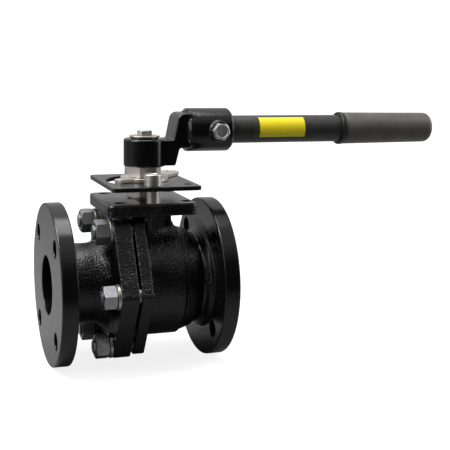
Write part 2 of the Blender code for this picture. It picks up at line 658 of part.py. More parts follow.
# ------------------------------------------------------------------ fasteners

def bolt(name, flats, head, tip, radius, axis, offset, parent, look, turn=0.0):
    """Hex-head bolt along an axis: head is (under, top) and tip the shank's end station."""
    start, end = sorted(head)
    body = prism(hexagon(flats, turn), axis, start, end)
    item = finish_object(name, move(body, offset), parent, look)
    shank = bmesh.new()
    inside = (head[0] + head[1]) / 2
    add_rod(shank, radius, axis * tip, axis * inside, COARSE)
    boolean(item, finish_object(f"{name}_shank", move(shank, offset), parent), 'UNION')
    return item


def nut(name, flats, start, end, bore, axis, offset, parent, look, turn=0.0):
    body = prism(hexagon(flats, turn), axis, start, end)
    item = finish_object(name, move(body, offset), parent, look)
    hole = bmesh.new()
    add_rod(hole, bore, axis * (start - 1), axis * (end + 1), COARSE)
    boolean(item, finish_object(f"{name}_bore", move(hole, offset), parent), 'DIFFERENCE')
    return item


def joint_fasteners(parent, looks):
    """Six studs screwed into the body, each with a nut and a split spring washer."""
    inner, outer, thickness = SPRING_WASHER
    washer_x = ADAPTER_JOINT[0] - GAP - thickness
    nut_x = washer_x - GAP - NUT_HEIGHT
    for number, (angle, turn) in enumerate(zip(STUD_ANGLES, NUT_TURNS), 1):
        y, z = on_circle(STUD_CIRCLE, angle)
        centre = Vector((0, y, z))
        start, end = STUD_ENDS
        profile = [(start, 0), (start, STUD_RADIUS - 1.2), (start + 1.2, STUD_RADIUS),
                   (end - 0.8, STUD_RADIUS), (end, STUD_RADIUS - 0.8), (end, 0)]
        stud = turned(profile, X, COARSE, closed=False)
        finish_object(f"joint_stud_{number}", move(stud, centre), parent, looks["zinc"])
        nut(f"joint_nut_{number}", NUT_FLATS, nut_x, nut_x + NUT_HEIGHT, STUD_RADIUS + GAP, X,
            centre, parent, looks["zinc"], turn)
        washer = ring(inner, outer, washer_x, washer_x + thickness, X, COARSE)
        name = f"spring_washer_{number}"
        item = finish_object(name, move(washer, centre), parent, looks["plated"])
        outwards = centre.normalized()
        split = prism([(-0.8, inner - 2), (0.8, inner - 2), (0.8, outer + 2), (-0.8, outer + 2)],
                      X, washer_x - 1, washer_x + thickness + 1)
        roll = Matrix.Rotation(math.atan2(-outwards.y, outwards.z) + math.radians(60), 3, 'X')
        bmesh.ops.rotate(split, cent=(0, 0, 0), matrix=roll, verts=split.verts)
        boolean(item, finish_object(f"{name}_split", move(split, centre), parent), 'DIFFERENCE')


def lever_fasteners(parent, looks):
    low, high, radius = LOCK_WASHER
    bm = ring(LEVER_BOLT_RADIUS + 2 * GAP, radius, low, high, Z, MEDIUM)
    finish_object("lever_lock_washer", bm, parent, looks["spring_steel"])
    low, high, radius = LEVER_WASHER
    bm = ring(LEVER_BOLT_RADIUS + 2 * GAP, radius, low, high, Z, MEDIUM)
    finish_object("lever_washer", bm, parent, looks["plated"])
    bolt("lever_bolt", LEVER_BOLT_FLATS, LEVER_BOLT_HEAD, LEVER_BOLT_TIP, LEVER_BOLT_RADIUS, Z,
         Vector((0, 0, 0)), parent, looks["zinc"])

    face = CROSS_BOSS[1] + GAP
    centre = Vector((CROSS_BOLT_X, 0, TUBE_Z))
    bolt("handle_bolt", CROSS_BOLT_FLATS, (-face, -face - CROSS_BOLT_HEAD), face + 12,
         CROSS_BOLT_RADIUS, Y, centre, parent, looks["zinc"], 8.0)
    nut("handle_bolt_nut", CROSS_BOLT_FLATS, face, face + CROSS_NUT_HEIGHT,
        CROSS_BOLT_RADIUS + GAP, Y, centre, parent, looks["zinc"], 20.0)


# ------------------------------------------------------------------ assembly

def build():
    clear_scene()
    looks = {
        "cast": material("painted_cast_iron", (0.018, 0.018, 0.020), 0.42, 0.0),
        "black": material("black_steel", (0.022, 0.022, 0.024), 0.38, 0.2),
        "stainless": material("stainless_steel", (0.62, 0.60, 0.56), 0.32, 1.0),
        "spring_steel": material("spring_steel", (0.20, 0.20, 0.21), 0.4, 1.0),
        "zinc": material("zinc_plated_steel", (0.58, 0.59, 0.60), 0.36, 1.0),
        "plated": material("yellow_zinc_plate", (0.62, 0.56, 0.44), 0.38, 1.0),
        "ptfe": material("ptfe", (0.85, 0.85, 0.82), 0.5, 0.0),
        "gasket": material("gasket_graphite", (0.09, 0.09, 0.10), 0.7, 0.0),
        "grip": material("vinyl_grip", (0.035, 0.035, 0.038), 0.6, 0.0),
        "label": material("label_yellow", (0.90, 0.68, 0.02), 0.4, 0.0),
    }
    still = pivot("valve_centre")
    turning = pivot("stem_pivot")

    body_casting(still, looks["cast"])
    end_adapter(still, looks["cast"])
    body_gasket(still, looks["gasket"])
    seat("inlet_seat", -1, still, looks["ptfe"])
    seat("outlet_seat", 1, still, looks["ptfe"])
    stem_seals(still, looks)
    gland_nut(still, looks["stainless"])
    stop_plate(still, looks["black"])
    for place, y in PILLAR_Y.items():
        plate_pillar(place, y, still, looks)
    joint_fasteners(still, looks)

    ball(turning, looks["stainless"])
    stem(turning, looks["stainless"])
    stop_lever(turning, looks["stainless"])
    lever_spacer(turning, looks["stainless"])
    lever_casting(turning, looks["cast"])
    lever_fasteners(turning, looks)
    handle_tube(turning, looks["black"])
    handle_grip(turning, looks["grip"])
    handle_label(turning, looks["label"])


build()
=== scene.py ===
import math

import bmesh
import bpy
import numpy as np
from mathutils import Matrix, Vector

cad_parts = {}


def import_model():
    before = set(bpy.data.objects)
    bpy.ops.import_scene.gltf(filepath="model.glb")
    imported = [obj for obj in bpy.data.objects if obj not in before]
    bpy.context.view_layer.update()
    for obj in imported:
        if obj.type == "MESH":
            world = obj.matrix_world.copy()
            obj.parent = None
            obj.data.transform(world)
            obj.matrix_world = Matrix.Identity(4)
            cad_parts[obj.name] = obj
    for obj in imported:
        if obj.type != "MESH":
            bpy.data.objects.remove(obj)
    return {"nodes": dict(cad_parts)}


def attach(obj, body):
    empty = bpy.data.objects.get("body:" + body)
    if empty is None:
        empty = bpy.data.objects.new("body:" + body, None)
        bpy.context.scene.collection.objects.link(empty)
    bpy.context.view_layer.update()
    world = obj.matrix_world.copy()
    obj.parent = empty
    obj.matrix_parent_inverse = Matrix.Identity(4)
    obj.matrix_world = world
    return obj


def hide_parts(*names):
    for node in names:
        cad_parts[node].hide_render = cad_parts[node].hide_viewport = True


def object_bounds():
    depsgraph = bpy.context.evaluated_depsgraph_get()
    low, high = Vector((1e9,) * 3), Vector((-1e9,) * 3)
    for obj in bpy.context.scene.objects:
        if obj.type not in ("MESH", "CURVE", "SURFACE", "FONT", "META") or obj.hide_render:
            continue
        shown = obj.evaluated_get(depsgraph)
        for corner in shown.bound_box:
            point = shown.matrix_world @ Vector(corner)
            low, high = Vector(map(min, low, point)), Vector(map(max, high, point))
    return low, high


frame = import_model()
cad_low, cad_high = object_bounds()

# ---------------- driving dimensions of the CAD
# Millimetres and degrees, about the valve centre where the stem axis (Z) crosses the flow axis (X).
STEM_TO_ORIGIN = 108.0
FLANGE_RADIUS = 88.9
FLANGE_THICKNESS = 17.5
INLET_FACE, OUTLET_FACE = -108.0, 82.5
PORT_RADIUS = 32.25
PIPE_BOLT_CIRCLE, PIPE_BOLT_HOLE, PIPE_BOLT_ANGLES = 69.85, 9.525, (45, 135, 225, 315)
ADAPTER_JOINT, ADAPTER_JOINT_FLAT = (-45.5, -26.5), 75.2
BODY_JOINT, BODY_JOINT_FLAT = (-23.5, -10.8), 73.2
JOINT_CORNER = 5.0
STUD_CIRCLE, STUD_ANGLES, STUD_RADIUS = 72.0, (30, 90, 150, 210, 270, 330), 8.0
STUD_ENDS = (-66.0, -11.1)
NUT_FLATS, NUT_HEIGHT, NUT_TURNS = 24.0, 14.6, (12, 44, 30, 21, 37, 8)
SPRING_WASHER = (8.8, 13.4, 3.4)
SPIGOT_RADIUS, SPIGOT_END, SPIGOT_POCKET_END = 56.0, -19.7, -18.0
ADAPTER_NECK, ADAPTER_FLARE, ADAPTER_FLARE_LENGTH = 43.8, 57.0, 20.0
BARREL_RADIUS, BARREL_END, SHOULDER = 61.8, 30.5, (46.0, 55.5)
BODY_NECK, BODY_NECK_X, FLANGE_HUB = 48.5, 56.5, (60.5, 56.0)
CAVITY_RADIUS, SEAT_X, SEAT_RADIUS = 50.5, (30.3, 43.5), 43.0
PEDESTAL_RADIUS, PEDESTAL_FOOT = 30.0, 45.0
PAD_X, PAD_Y, PAD_Z, PAD_CORNER = (-52.0, 45.0), (-53.0, 45.0), (79.5, 92.5), 7.0
PAD_BOLT_SQUARE, PAD_BOLT_HOLE = 36.5, 5.5
BALL_RADIUS, BALL_PORT, TANG_SLOT_HALF, TANG_SLOT_FLOOR = 47.5, 32.0, 5.0, 40.0
STUFFING_BOX = (66.0, 16.2)
SHOULDER_POCKET = (40.0, 54.6, 14.4)
STEM_BORE, STEM_SQUARE = 10.3, 14.0
GLAND_HEX, GLAND_FLATS, GLAND_SPIGOT_FLATS, GLAND_SPIGOT_TOP = (92.8, 106.2), 33.0, 25.0, 110.8
GLAND_SKIRT = 88.3
PLATE_Z, PLATE_HALF_X, PLATE_HALF_Y, PLATE_CORNER = (106.5, 111.1), 48.5, 57.0, 5.0
PILLAR_X, PILLAR_Y = -3.0, {"front": -46.0, "rear": 38.0}
PILLAR_RADIUS, PILLAR_Z, PILLAR_SCREW_RADIUS = 6.7, (92.8, 106.2), 4.7
PILLAR_SCREW_HEAD, PILLAR_SCREW_TIP = (111.4, 124.0, 9.3), 84.0
TAB_RADIUS, TAB_HALF_WIDTH, TAB_HALF_ANGLE, TAB_ANGLE, TRAVEL = 36.5, 3.6, 7.0, 209.0, 90.0
SLOT_HALF_WIDTH, SLOT_END_ROOM = 5.4, 1.5
STOP_LEVER_Z, TAB_BOTTOM, STOP_LEVER_RADIUS = (111.4, 115.4), 104.5, 26.0
LOCK_HOLE_RADIUS, LOCK_HOLE_DISTANCE, LOCK_HOLE_ANGLE, LOCK_END_RADIUS = 4.0, 54.2, 44.1, 12.0
SPACER_Z = (115.7, 126.7)
HUB_RADIUS, HUB_Z, ARM_HALF_WIDTH, ARM_BOTTOM = 22.6, (127.0, 157.0), 18.0, 128.4
TUBE_Z, TUBE_RADIUS, TUBE_BORE, TUBE_ENDS = 165.8, 15.4, 12.8, (52.4, 346.3)
SOCKET_RADIUS, SOCKET_X, SOCKET_CHAMFER, SOCKET_FLOOR = 23.8, (44.0, 97.0), 3.0, 52.0
CROSS_BOLT_X, CROSS_BOLT_RADIUS, CROSS_BOSS = 78.0, 5.0, (11.0, 26.6)
CROSS_BOLT_FLATS, CROSS_BOLT_HEAD, CROSS_NUT_HEIGHT = 17.0, 6.4, 8.0
LEVER_BOLT_FLATS, LEVER_BOLT_HEAD = 14.3, (160.5, 165.8)
LEVER_BOLT_TIP, LEVER_BOLT_RADIUS = 138.0, 4.0
LOCK_WASHER, LEVER_WASHER = (157.3, 158.4, 15.0), (158.7, 160.2, 16.6)
GRIP_ENDS, GRIP_LIP, GRIP_RADII = (231.8, 352.8), 18.7, (18.2, 17.3)
LABEL_X, LABEL_RADII, LABEL_SPAN = (121.0, 184.5), (15.7, 16.1), (32, 120)
GAP = 0.3

# Looks only: roundings that the CAD leaves out, and how far a cutting shape runs past a face
FLANGE_EDGE = 1.6
JOINT_EDGE = 1.3
HOLE_EDGE = 0.6
PAST = 9.0


def move(x, y, z):
    return Matrix.Translation((x, y, z))


def rotate(degrees, axis):
    return Matrix.Rotation(math.radians(degrees), 4, axis)


TO_WORLD = Matrix.Scale(0.001, 4) @ move(STEM_TO_ORIGIN, 0, 0)


# ---------------- materials

def new_material(name, colour, roughness, metallic=0.0, specular=0.5):
    """A material with plain values on its shader, and the Nodes to build on."""
    made = bpy.data.materials.new(name)
    made.use_nodes = True
    shader = made.node_tree.nodes["Principled BSDF"]
    shader.inputs["Base Color"].default_value = (*colour, 1.0)
    for key, value in (("Roughness", roughness), ("Metallic", metallic),
                       ("Specular IOR Level", specular)):
        shader.inputs[key].default_value = value
    return made, Nodes(made.node_tree)


class Nodes:
    """Short calls for building a node tree."""

    def __init__(self, tree, coords="Object"):
        self.tree = tree
        self.coords = self.add("ShaderNodeTexCoord").outputs[coords]

    def add(self, kind, **inputs):
        node = self.tree.nodes.new(kind)
        for key, value in inputs.items():
            self.put(node.inputs[key.replace("_", " ")], value)
        return node

    def put(self, socket, value):
        if isinstance(value, bpy.types.NodeSocket):
            self.tree.links.new(value, socket)
        else:
            socket.default_value = value

    def stretched(self, scale, centre=(0, 0, 0)):
        node = self.add("ShaderNodeMapping", Vector=self.coords, Scale=scale)
        node.inputs["Location"].default_value = [-c * s for c, s in zip(centre, scale)]
        return node.outputs["Vector"]

    def along(self, axis):
        return self.add("ShaderNodeSeparateXYZ", Vector=self.coords).outputs[axis]

    def noise(self, scale, detail=3.0, rough=0.5, coords=None):
        return self.add("ShaderNodeTexNoise", Vector=coords or self.coords, Scale=scale,
                        Detail=detail, Roughness=rough).outputs["Fac"]

    def voronoi(self, scale):
        node = self.add("ShaderNodeTexVoronoi", Vector=self.coords, Scale=scale)
        return node.outputs["Distance"]

    def ramp(self, value, low, high, start=0.0, end=1.0, smooth=False):
        node = self.add("ShaderNodeMapRange", Value=value, From_Min=low, From_Max=high,
                        To_Min=start, To_Max=end)
        node.interpolation_type = 'SMOOTHSTEP' if smooth else 'LINEAR'
        return node.outputs["Result"]

    def math(self, operation, first, second):
        node = self.add("ShaderNodeMath")
        node.operation = operation
        self.put(node.inputs[0], first)
        self.put(node.inputs[1], second)
        return node.outputs[0]

    def mix(self, factor, first, second):
        node = self.add("ShaderNodeMix")
        node.data_type = 'RGBA'
        self.put(node.inputs["Factor"], factor)
        for name, value in (("A", first), ("B", second)):
            socket = [s for s in node.inputs if s.name == name and s.type == 'RGBA'][0]
            self.put(socket, value if isinstance(value, bpy.types.NodeSocket) else (*value, 1.0))
        return [s for s in node.outputs if s.type == 'RGBA'][0]

    def bump(self, height, strength, distance, normal=None):
        node = self.add("ShaderNodeBump", Strength=strength, Distance=distance, Height=height)
        if normal:
            self.put(node.inputs["Normal"], normal)
        return node.outputs["Normal"]

    def attribute(self, name):
        node = self.add("ShaderNodeAttribute")
        node.attribute_name = name
        return node.outputs["Fac"]

    def finish(self, colour, roughness=None, normal=None):
        shader = self.tree.nodes["Principled BSDF"]
        for key, value in (("Base Color", colour), ("Roughness", roughness), ("Normal", normal)):
            if value:
                self.put(shader.inputs[key], value)

    def for_camera(self, seen, otherwise, output):
        """One shader for what the camera sees, another for light that comes by any other way."""
        path = self.add("ShaderNodeLightPath")
        mix = self.add("ShaderNodeMixShader", Fac=path.outputs["Is Camera Ray"])
        self.put(mix.inputs[1], otherwise.outputs[0])
        self.put(mix.inputs[2], seen.outputs[0])
        self.put(output.inputs["Surface"], mix.outputs[0])


def cast_paint(name):
    """Black enamel on a sand casting: grainy, with smooth machined faces where "machined" is 1."""
    made, n = new_material(name, (0.003, 0.003, 0.003), 0.3)
    rough_side = n.math('SUBTRACT', 1.0, n.attribute("machined"))
    patches = n.ramp(n.noise(34.0, 2.0), 0.36, 0.60, 0.45, 1.0)
    grain = n.noise(600.0, 2.0, 0.6)
    domes = n.ramp(n.voronoi(440.0), 0.0, 0.70, 0.45, 0.0)
    height = n.math('ADD', n.math('MULTIPLY', grain, 0.55), domes)
    height = n.math('MULTIPLY', n.math('MULTIPLY', height, rough_side), patches)
    swell = n.math('MULTIPLY', n.noise(110.0, 2.0, 0.5), rough_side)
    normal = n.bump(swell, 0.35, 0.0008)
    normal = n.bump(height, 1.0, 0.00105, normal)
    normal = n.bump(n.noise(900.0, 1.0), 0.10, 0.00006, normal)
    tone = n.ramp(n.noise(60.0, 4.0), 0.3, 0.7)
    colour = n.mix(tone, (0.0022, 0.0022, 0.0024), (0.0042, 0.0042, 0.0046))
    roughness = n.ramp(n.noise(90.0, 2.0), 0.3, 0.7, 0.17, 0.22)
    n.finish(colour, roughness, normal)
    return made


def smooth_paint(name, colour, low, high, grain=900.0):
    """Enamel on rolled or drawn steel, almost even."""
    made, n = new_material(name, colour, low)
    tone = n.ramp(n.noise(85.0, 3.0), 0.3, 0.7)
    normal = n.bump(n.noise(grain, 2.0), 0.14, 0.00009)
    shade = n.mix(tone, [c * 0.85 for c in colour], [c * 1.2 for c in colour])
    n.finish(shade, n.ramp(n.noise(240.0, 4.0), 0.3, 0.7, low, high), normal)
    return made


def metal(name, colour, low, high, scratch=(900, 900, 900), bump=0.12, dull=None):
    """Bare or plated metal: fine scratches, and duller blotches of rougher metal."""
    made, n = new_material(name, colour, low, 1.0)
    lines = n.noise(1.0, 3.0, 0.6, n.stretched(scratch))
    blotch = n.ramp(n.noise(110.0, 4.0, 0.6), 0.35, 0.7)
    shade = n.mix(blotch, colour, dull or [c * 0.75 for c in colour])
    roughness = n.math('ADD', n.ramp(blotch, 0.0, 1.0, low, high),
                       n.ramp(lines, 0.3, 0.7, -0.04, 0.05))
    normal = n.bump(lines, bump, 0.00006)
    normal = n.bump(n.noise(700.0, 2.0), bump * 0.6, 0.00006, normal)
    n.finish(shade, roughness, normal)
    return made


def vinyl(name):
    """Dipped vinyl, a greyish bloom along the grip, its mouth painted near-black as painted shade.
    """
    made, n = new_material(name, (0.11, 0.105, 0.10), 0.5)
    mouth = (GRIP_ENDS[0] + STEM_TO_ORIGIN) / 1000
    # The first few millimetres at the mouth are painted near-black: painted shade where the lip
    # curves away from the light.
    past_painted_mouth_shade = n.ramp(n.along("X"), mouth + 0.0052, mouth + 0.0072)
    streak = n.noise(1.0, 3.0, 0.6, n.stretched((40, 300, 300)))
    bloom = n.ramp(n.noise(45.0, 3.0, 0.6), 0.35, 0.75)
    grey = n.mix(bloom, (0.076, 0.071, 0.067), (0.112, 0.105, 0.100))
    colour = n.mix(past_painted_mouth_shade, (0.006, 0.006, 0.006), grey)
    normal = n.bump(streak, 0.2, 0.0002)
    normal = n.bump(n.noise(1300.0, 2.0), 0.2, 0.00008, normal)
    n.finish(colour, n.ramp(n.noise(220.0, 3.0), 0.3, 0.7, 0.36, 0.48), normal)
    return made


def plain_soft(name, colour, low, high):
    """Moulded or pressed soft material, a little mottled."""
    made, n = new_material(name, colour, low)
    tone = n.ramp(n.noise(260.0, 4.0), 0.3, 0.7)
    shade = n.mix(tone, [c * 0.88 for c in colour], colour)
    n.finish(shade, n.ramp(n.noise(500.0, 3.0), 0.3, 0.7, low, high),
             n.bump(n.noise(800.0, 2.0), 0.15, 0.00008))
    return made


def label_material(name):
    """Blank yellow sticker with a dark strip at the end nearer the hub."""
    made, n = new_material(name, (0.85, 0.70, 0.03), 0.32)
    strip_end = (LABEL_X[0] + STEM_TO_ORIGIN) / 1000 + 0.0082
    strip = n.math('LESS_THAN', n.along("X"), strip_end)
    wear = n.noise(380.0, 4.0, 0.6)
    yellow = n.mix(n.ramp(n.noise(70.0, 3.0), 0.3, 0.7), (0.95, 0.77, 0.012), (0.89, 0.74, 0.03))
    dark = n.mix(n.ramp(wear, 0.4, 0.7), (0.030, 0.029, 0.018), (0.075, 0.068, 0.020))
    n.finish(n.mix(strip, yellow, dark), n.ramp(wear, 0.3, 0.7, 0.26, 0.38),
             n.bump(n.noise(420.0, 2.0), 0.08, 0.00008))
    return made


looks = {
    "cast": cast_paint("cast_enamel"),
    "plate": smooth_paint("plate_enamel", (0.005, 0.005, 0.0055), 0.22, 0.30),
    "tube": smooth_paint("tube_enamel", (0.030, 0.0285, 0.028), 0.34, 0.44, 700.0),
    "stainless": metal("machined_stainless", (0.78, 0.75, 0.69), 0.30, 0.44, (500, 500, 2600)),
    "ball": metal("polished_ball", (0.66, 0.65, 0.63), 0.10, 0.18, (900, 900, 900), 0.04),
    "zinc": metal("zinc_plate", (0.40, 0.41, 0.42), 0.34, 0.48, (1500, 500, 500), 0.16),
    "bolt": metal("bright_zinc", (0.66, 0.66, 0.66), 0.36, 0.52, (900, 900, 900), 0.3),
    "yellow": metal("yellow_passivate", (0.62, 0.57, 0.47), 0.30, 0.45, (700, 700, 700), 0.12,
                    (0.50, 0.47, 0.42)),
    "spring": metal("dark_spring_steel", (0.24, 0.24, 0.25), 0.30, 0.45),
    "ptfe": plain_soft("moulded_ptfe", (0.82, 0.82, 0.79), 0.35, 0.5),
    "graphite": plain_soft("graphite_sheet", (0.05, 0.05, 0.055), 0.5, 0.65),
    "vinyl": vinyl("dipped_vinyl"),
    "label": label_material("sticker"),
}


# ---------------- making pieces

def mesh_of(verts, faces):
    made = bpy.data.meshes.new("shape")
    made.from_pydata([tuple(v) for v in verts], [], faces)
    return made


def edited(mesh, change):
    """The mesh after `change` has worked on it as a bmesh."""
    bm = bmesh.new()
    bm.from_mesh(mesh)
    change(bm)
    bm.to_mesh(mesh)
    bm.free()
    return mesh


def face_outwards(bm):
    bmesh.ops.recalc_face_normals(bm, faces=bm.faces)


def link(name, data):
    item = bpy.data.objects.new(name, data)
    bpy.context.scene.collection.objects.link(item)
    return item


def register(item, body, node):
    """The object rides on a body, and stands for a CAD node, which is hidden."""
    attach(item, body)
    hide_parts(node)


def piece(name, mesh, body, look, node, sharp, bevel=0.0, weighted=True):
    """Millimetre mesh to a finished object; edges over `sharp` degrees stay sharp."""
    mesh.transform(TO_WORLD)
    mesh.name = name
    mesh.materials.append(look)
    mesh.shade_smooth()
    item = link(name, mesh)
    if bevel:
        rounding = item.modifiers.new("edges", 'BEVEL')
        rounding.width = bevel / 1000
        rounding.segments = 2
        rounding.limit_method = 'ANGLE'
        rounding.angle_limit = math.radians(32)
        rounding.use_clamp_overlap = True
        rounding.miter_outer = 'MITER_ARC'
    if weighted:
        smooth = item.modifiers.new("normals", 'WEIGHTED_NORMAL')
        smooth.weight = 80
        smooth.keep_sharp = True
    mesh.set_sharp_from_angle(angle=math.radians(sharp))
    register(item, body, node)


def copy_mesh(mesh, matrix):
    made = mesh.copy()
    made.transform(matrix)
    return made


def evaluated(mesh, tools=(), add=None):
    """A mesh after Booleans, given as (operation, mesh) pairs, or after what `add` puts on it."""
    item = link("work", mesh)
    helpers = [item]
    for operation, tool in tools:
        helpers.append(link("tool", tool))
        cut = item.modifiers.new("cut", 'BOOLEAN')
        cut.operation = operation
        cut.solver = 'EXACT'
        cut.object = helpers[-1]
    if add:
        add(item)
    graph = bpy.context.evaluated_depsgraph_get()
    result = bpy.data.meshes.new_from_object(item.evaluated_get(graph))
    for helper in helpers:
        bpy.data.objects.remove(helper, do_unlink=True)
    return result


def arc(centre, radius, first, last, steps):
    angles = [math.radians(first + (last - first) * i / steps) for i in range(steps + 1)]
    return [(centre[0] + radius * math.cos(a), centre[1] + radius * math.sin(a)) for a in angles]


def rounded(points, steps=5):
    """Closed outline whose corners, given as (a, b, radius), become arcs touching both sides."""
    out = []
    for i, (a, b, radius) in enumerate(points):
        corner = Vector((a, b))
        back = Vector(points[i - 1][:2]) - corner
        onward = Vector(points[(i + 1) % len(points)][:2]) - corner
        if radius <= 0 or back.length < 1e-6 or onward.length < 1e-6:
            out.append((a, b))
            continue
        back.normalize()
        onward.normalize()
        half = back.angle(onward) / 2
        if half > math.radians(89):
            out.append((a, b))
            continue
        centre = corner + (back + onward).normalized() * radius / math.sin(half)
        start = corner + back * radius / math.tan(half) - centre
        end = corner + onward * radius / math.tan(half) - centre
        first = math.atan2(start.y, start.x)
        sweep = (math.atan2(end.y, end.x) - first + math.pi) % math.tau - math.pi
        for k in range(steps + 1):
            a = first + sweep * k / steps
            out.append((centre.x + radius * math.cos(a), centre.y + radius * math.sin(a)))
    return out


def box_outline(half_a, half_b, corner, steps):
    return rounded([(-half_a, -half_b, corner), (half_a, -half_b, corner),
                    (half_a, half_b, corner), (-half_a, half_b, corner)], steps)


def turned(profile, axis, segments, centre=(0, 0, 0), closed=False):
    """Surface of revolution of (station, radius) points; radius 0 makes a pole."""
    verts, rows = [], []
    for station, radius in profile:
        row = []
        for k in range(1 if radius <= 1e-6 else segments):
            a = math.tau * k / segments
            u, v = radius * math.cos(a), radius * math.sin(a)
            place = {"X": (station, u, v), "Y": (v, station, u), "Z": (u, v, station)}[axis]
            row.append(len(verts))
            verts.append([p + c for p, c in zip(place, centre)])
        rows.append(row)
    pairs = list(zip(rows, rows[1:]))
    if closed:
        pairs.append((rows[-1], rows[0]))
    faces = []
    for low, high in pairs:
        for k in range(segments):
            j = (k + 1) % segments
            corners = [low[k % len(low)], low[j % len(low)],
                       high[j % len(high)], high[k % len(high)]]
            corners = list(dict.fromkeys(corners))
            if len(corners) > 2:
                faces.append(corners)
    return edited(mesh_of(verts, faces), face_outwards)


def lofted(rings):
    """Closed skin through rings of equally many points, with a face across either end."""
    count = len(rings[0])
    rows = [list(range(k * count, (k + 1) * count)) for k in range(len(rings))]
    faces = [rows[0][::-1], rows[-1]]
    for low, high in zip(rows, rows[1:]):
        for k in range(count):
            j = (k + 1) % count
            faces.append([low[k], low[j], high[j], high[k]])
    return mesh_of([point for ring_points in rings for point in ring_points], faces)


def ring(inner, outer, low, high, segments, edge, centre=(0, 0, 0)):
    outline = rounded([(low, inner, edge), (low, outer, edge), (high, outer, edge),
                       (high, inner, edge)], 3)
    return turned(outline, "Z", segments, centre, closed=True)


def offset_outline(points, amount):
    """Outline moved inwards along its corner bisectors (counter-clockwise outline)."""
    moved = []
    for i, point in enumerate(points):
        here = Vector(point)
        before = (here - Vector(points[i - 1])).normalized()
        after = (Vector(points[(i + 1) % len(points)]) - here).normalized()
        n0, n1 = Vector((-before.y, before.x)), Vector((-after.y, after.x))
        bisector = n0 + n1
        bisector.normalize()
        moved.append(here + bisector * amount / max(0.35, bisector.dot(n0)))
    return moved


def clean(points, least=0.02):
    kept = []
    for point in points:
        if not kept or (Vector(point) - Vector(kept[-1])).length > least:
            kept.append(tuple(point))
    if (Vector(kept[0]) - Vector(kept[-1])).length <= least:
        kept.pop()
    area = sum(a[0] * b[1] - b[0] * a[1] for a, b in zip(kept, kept[1:] + kept[:1]))
    return kept if area > 0 else kept[::-1]


def slab(outline, holes, low, high, edge, steps=3):
    """Plate with rounded edges round its outline and its holes, from z low to z high."""
    bm = bmesh.new()
    levels = []
    for k in range(steps + 1):
        a = math.pi / 2 * k / steps
        levels.append((edge * (1 - math.sin(a)), edge * (1 - math.cos(a))))
    rims = {low: [], high: []}
    for number, loop in enumerate([outline] + list(holes)):
        points = clean(loop)
        side = 1 if number == 0 else -1
        stack = [(low + down, inset) for inset, down in levels]
        stack += [(high - down, inset) for inset, down in reversed(levels)]
        rows = []
        for z, inset in stack:
            flat = offset_outline(points, side * inset) if inset > 1e-9 else points
            rows.append([bm.verts.new((p[0], p[1], z)) for p in flat])
        for lower, upper in zip(rows, rows[1:]):
            for i in range(len(points)):
                j = (i + 1) % len(points)
                bm.faces.new((lower[i], lower[j], upper[j], upper[i]))
        for level, row in ((low, rows[0]), (high, rows[-1])):
            rims[level] += [bm.edges.get(pair) for pair in zip(row, row[1:] + row[:1])]
    for edges in rims.values():
        bmesh.ops.triangle_fill(bm, use_beauty=True, use_dissolve=False, edges=edges)
    face_outwards(bm)
    made = bpy.data.meshes.new("slab")
    bm.to_mesh(made)
    bm.free()
    return made


def circle(centre, radius, steps=40):
    return arc(centre, radius, 0, 360 - 360 / steps, steps - 1)


def polar(radius, angle):
    a = math.radians(angle)
    return radius * math.cos(a), radius * math.sin(a)


def on_circle(radius, angle):
    """(y, z) on a circle about the flow axis, in degrees from the top towards the front."""
    a = math.radians(angle)
    return -radius * math.sin(a), radius * math.cos(a)


def hexagon(flats, corner, turn=0.0):
    points = [(*polar(flats / math.sqrt(3), turn + 60 * k), corner) for k in range(6)]
    return rounded(points, 3)


def prism_mesh(outline, low, high):
    return lofted([[(*p, level) for p in outline] for level in (low, high)])


def hex_solid(flats, height, bore=0.0, chamfer_low=True, recess=None):
    """Hexagon along Z from 0 to height, its corners turned off by 30 degree chamfers."""
    corner = flats / math.sqrt(3)
    land = flats / 2 * 0.94
    beyond = corner + 0.2
    drop = (beyond - land) * math.tan(math.radians(30))
    profile = [(0, 0), (0, land), (drop, beyond)] if chamfer_low else [(0, 0), (0, corner + 0.4)]
    profile += [(height - drop, beyond), (height, land), (height, 0)]
    tools = [('INTERSECT', turned(profile, "Z", 96))]
    if bore:
        sink = 0.9
        hole = [(-1, 0), (-1, bore + sink + 1), (sink, bore), (height - sink, bore),
                (height + 1, bore + sink + 1), (height + 1, 0)]
        tools.append(('DIFFERENCE', turned(hole, "Z", 64)))
    if recess:
        radius, depth = recess
        cut = [(height - depth, 0), (height - depth, radius - depth), (height + 0.5, radius + 0.5),
               (height + 0.5, 0)]
        tools.append(('DIFFERENCE', turned(cut, "Z", 64)))
    return evaluated(prism_mesh(hexagon(flats, 0.5), 0, height), tools)


def threaded(radius, pitch, length, plain, chamfer=1.2):
    """Rod along Z from 0, helically threaded past its plain part, its ends drawn in."""
    depth, crest, steps, segments, blunt = 0.61 * pitch, 0.42, 7, 40, 0.6
    count = max(1, int((length - plain) / pitch * steps))
    stations = [0, 0.01] + [plain + (length - plain) * i / count for i in range(count + 1)]
    rings = []
    for z in stations:
        points = []
        for k in range(segments):
            turn = k / segments
            phase = (z / pitch - turn) % 1.0
            groove = 0.0
            if z > plain:
                groove = depth * max(0.0, 1 - abs(phase - 0.5) / crest)
                groove *= min(1.0, (z - plain) / pitch)
            limit = radius - chamfer + (length - z) if length - z < chamfer else radius
            r = min(radius - groove, limit) if z > 0 else radius - blunt
            points.append((r * math.cos(math.tau * turn), r * math.sin(math.tau * turn), z))
        rings.append(points)
    return lofted(rings)


# ---------------- castings, as distance functions
# A casting's CAD mesh gives the layout of faces; its points are then moved onto a surface whose
# edges and fillets are round, described here by signed distances in millimetres.

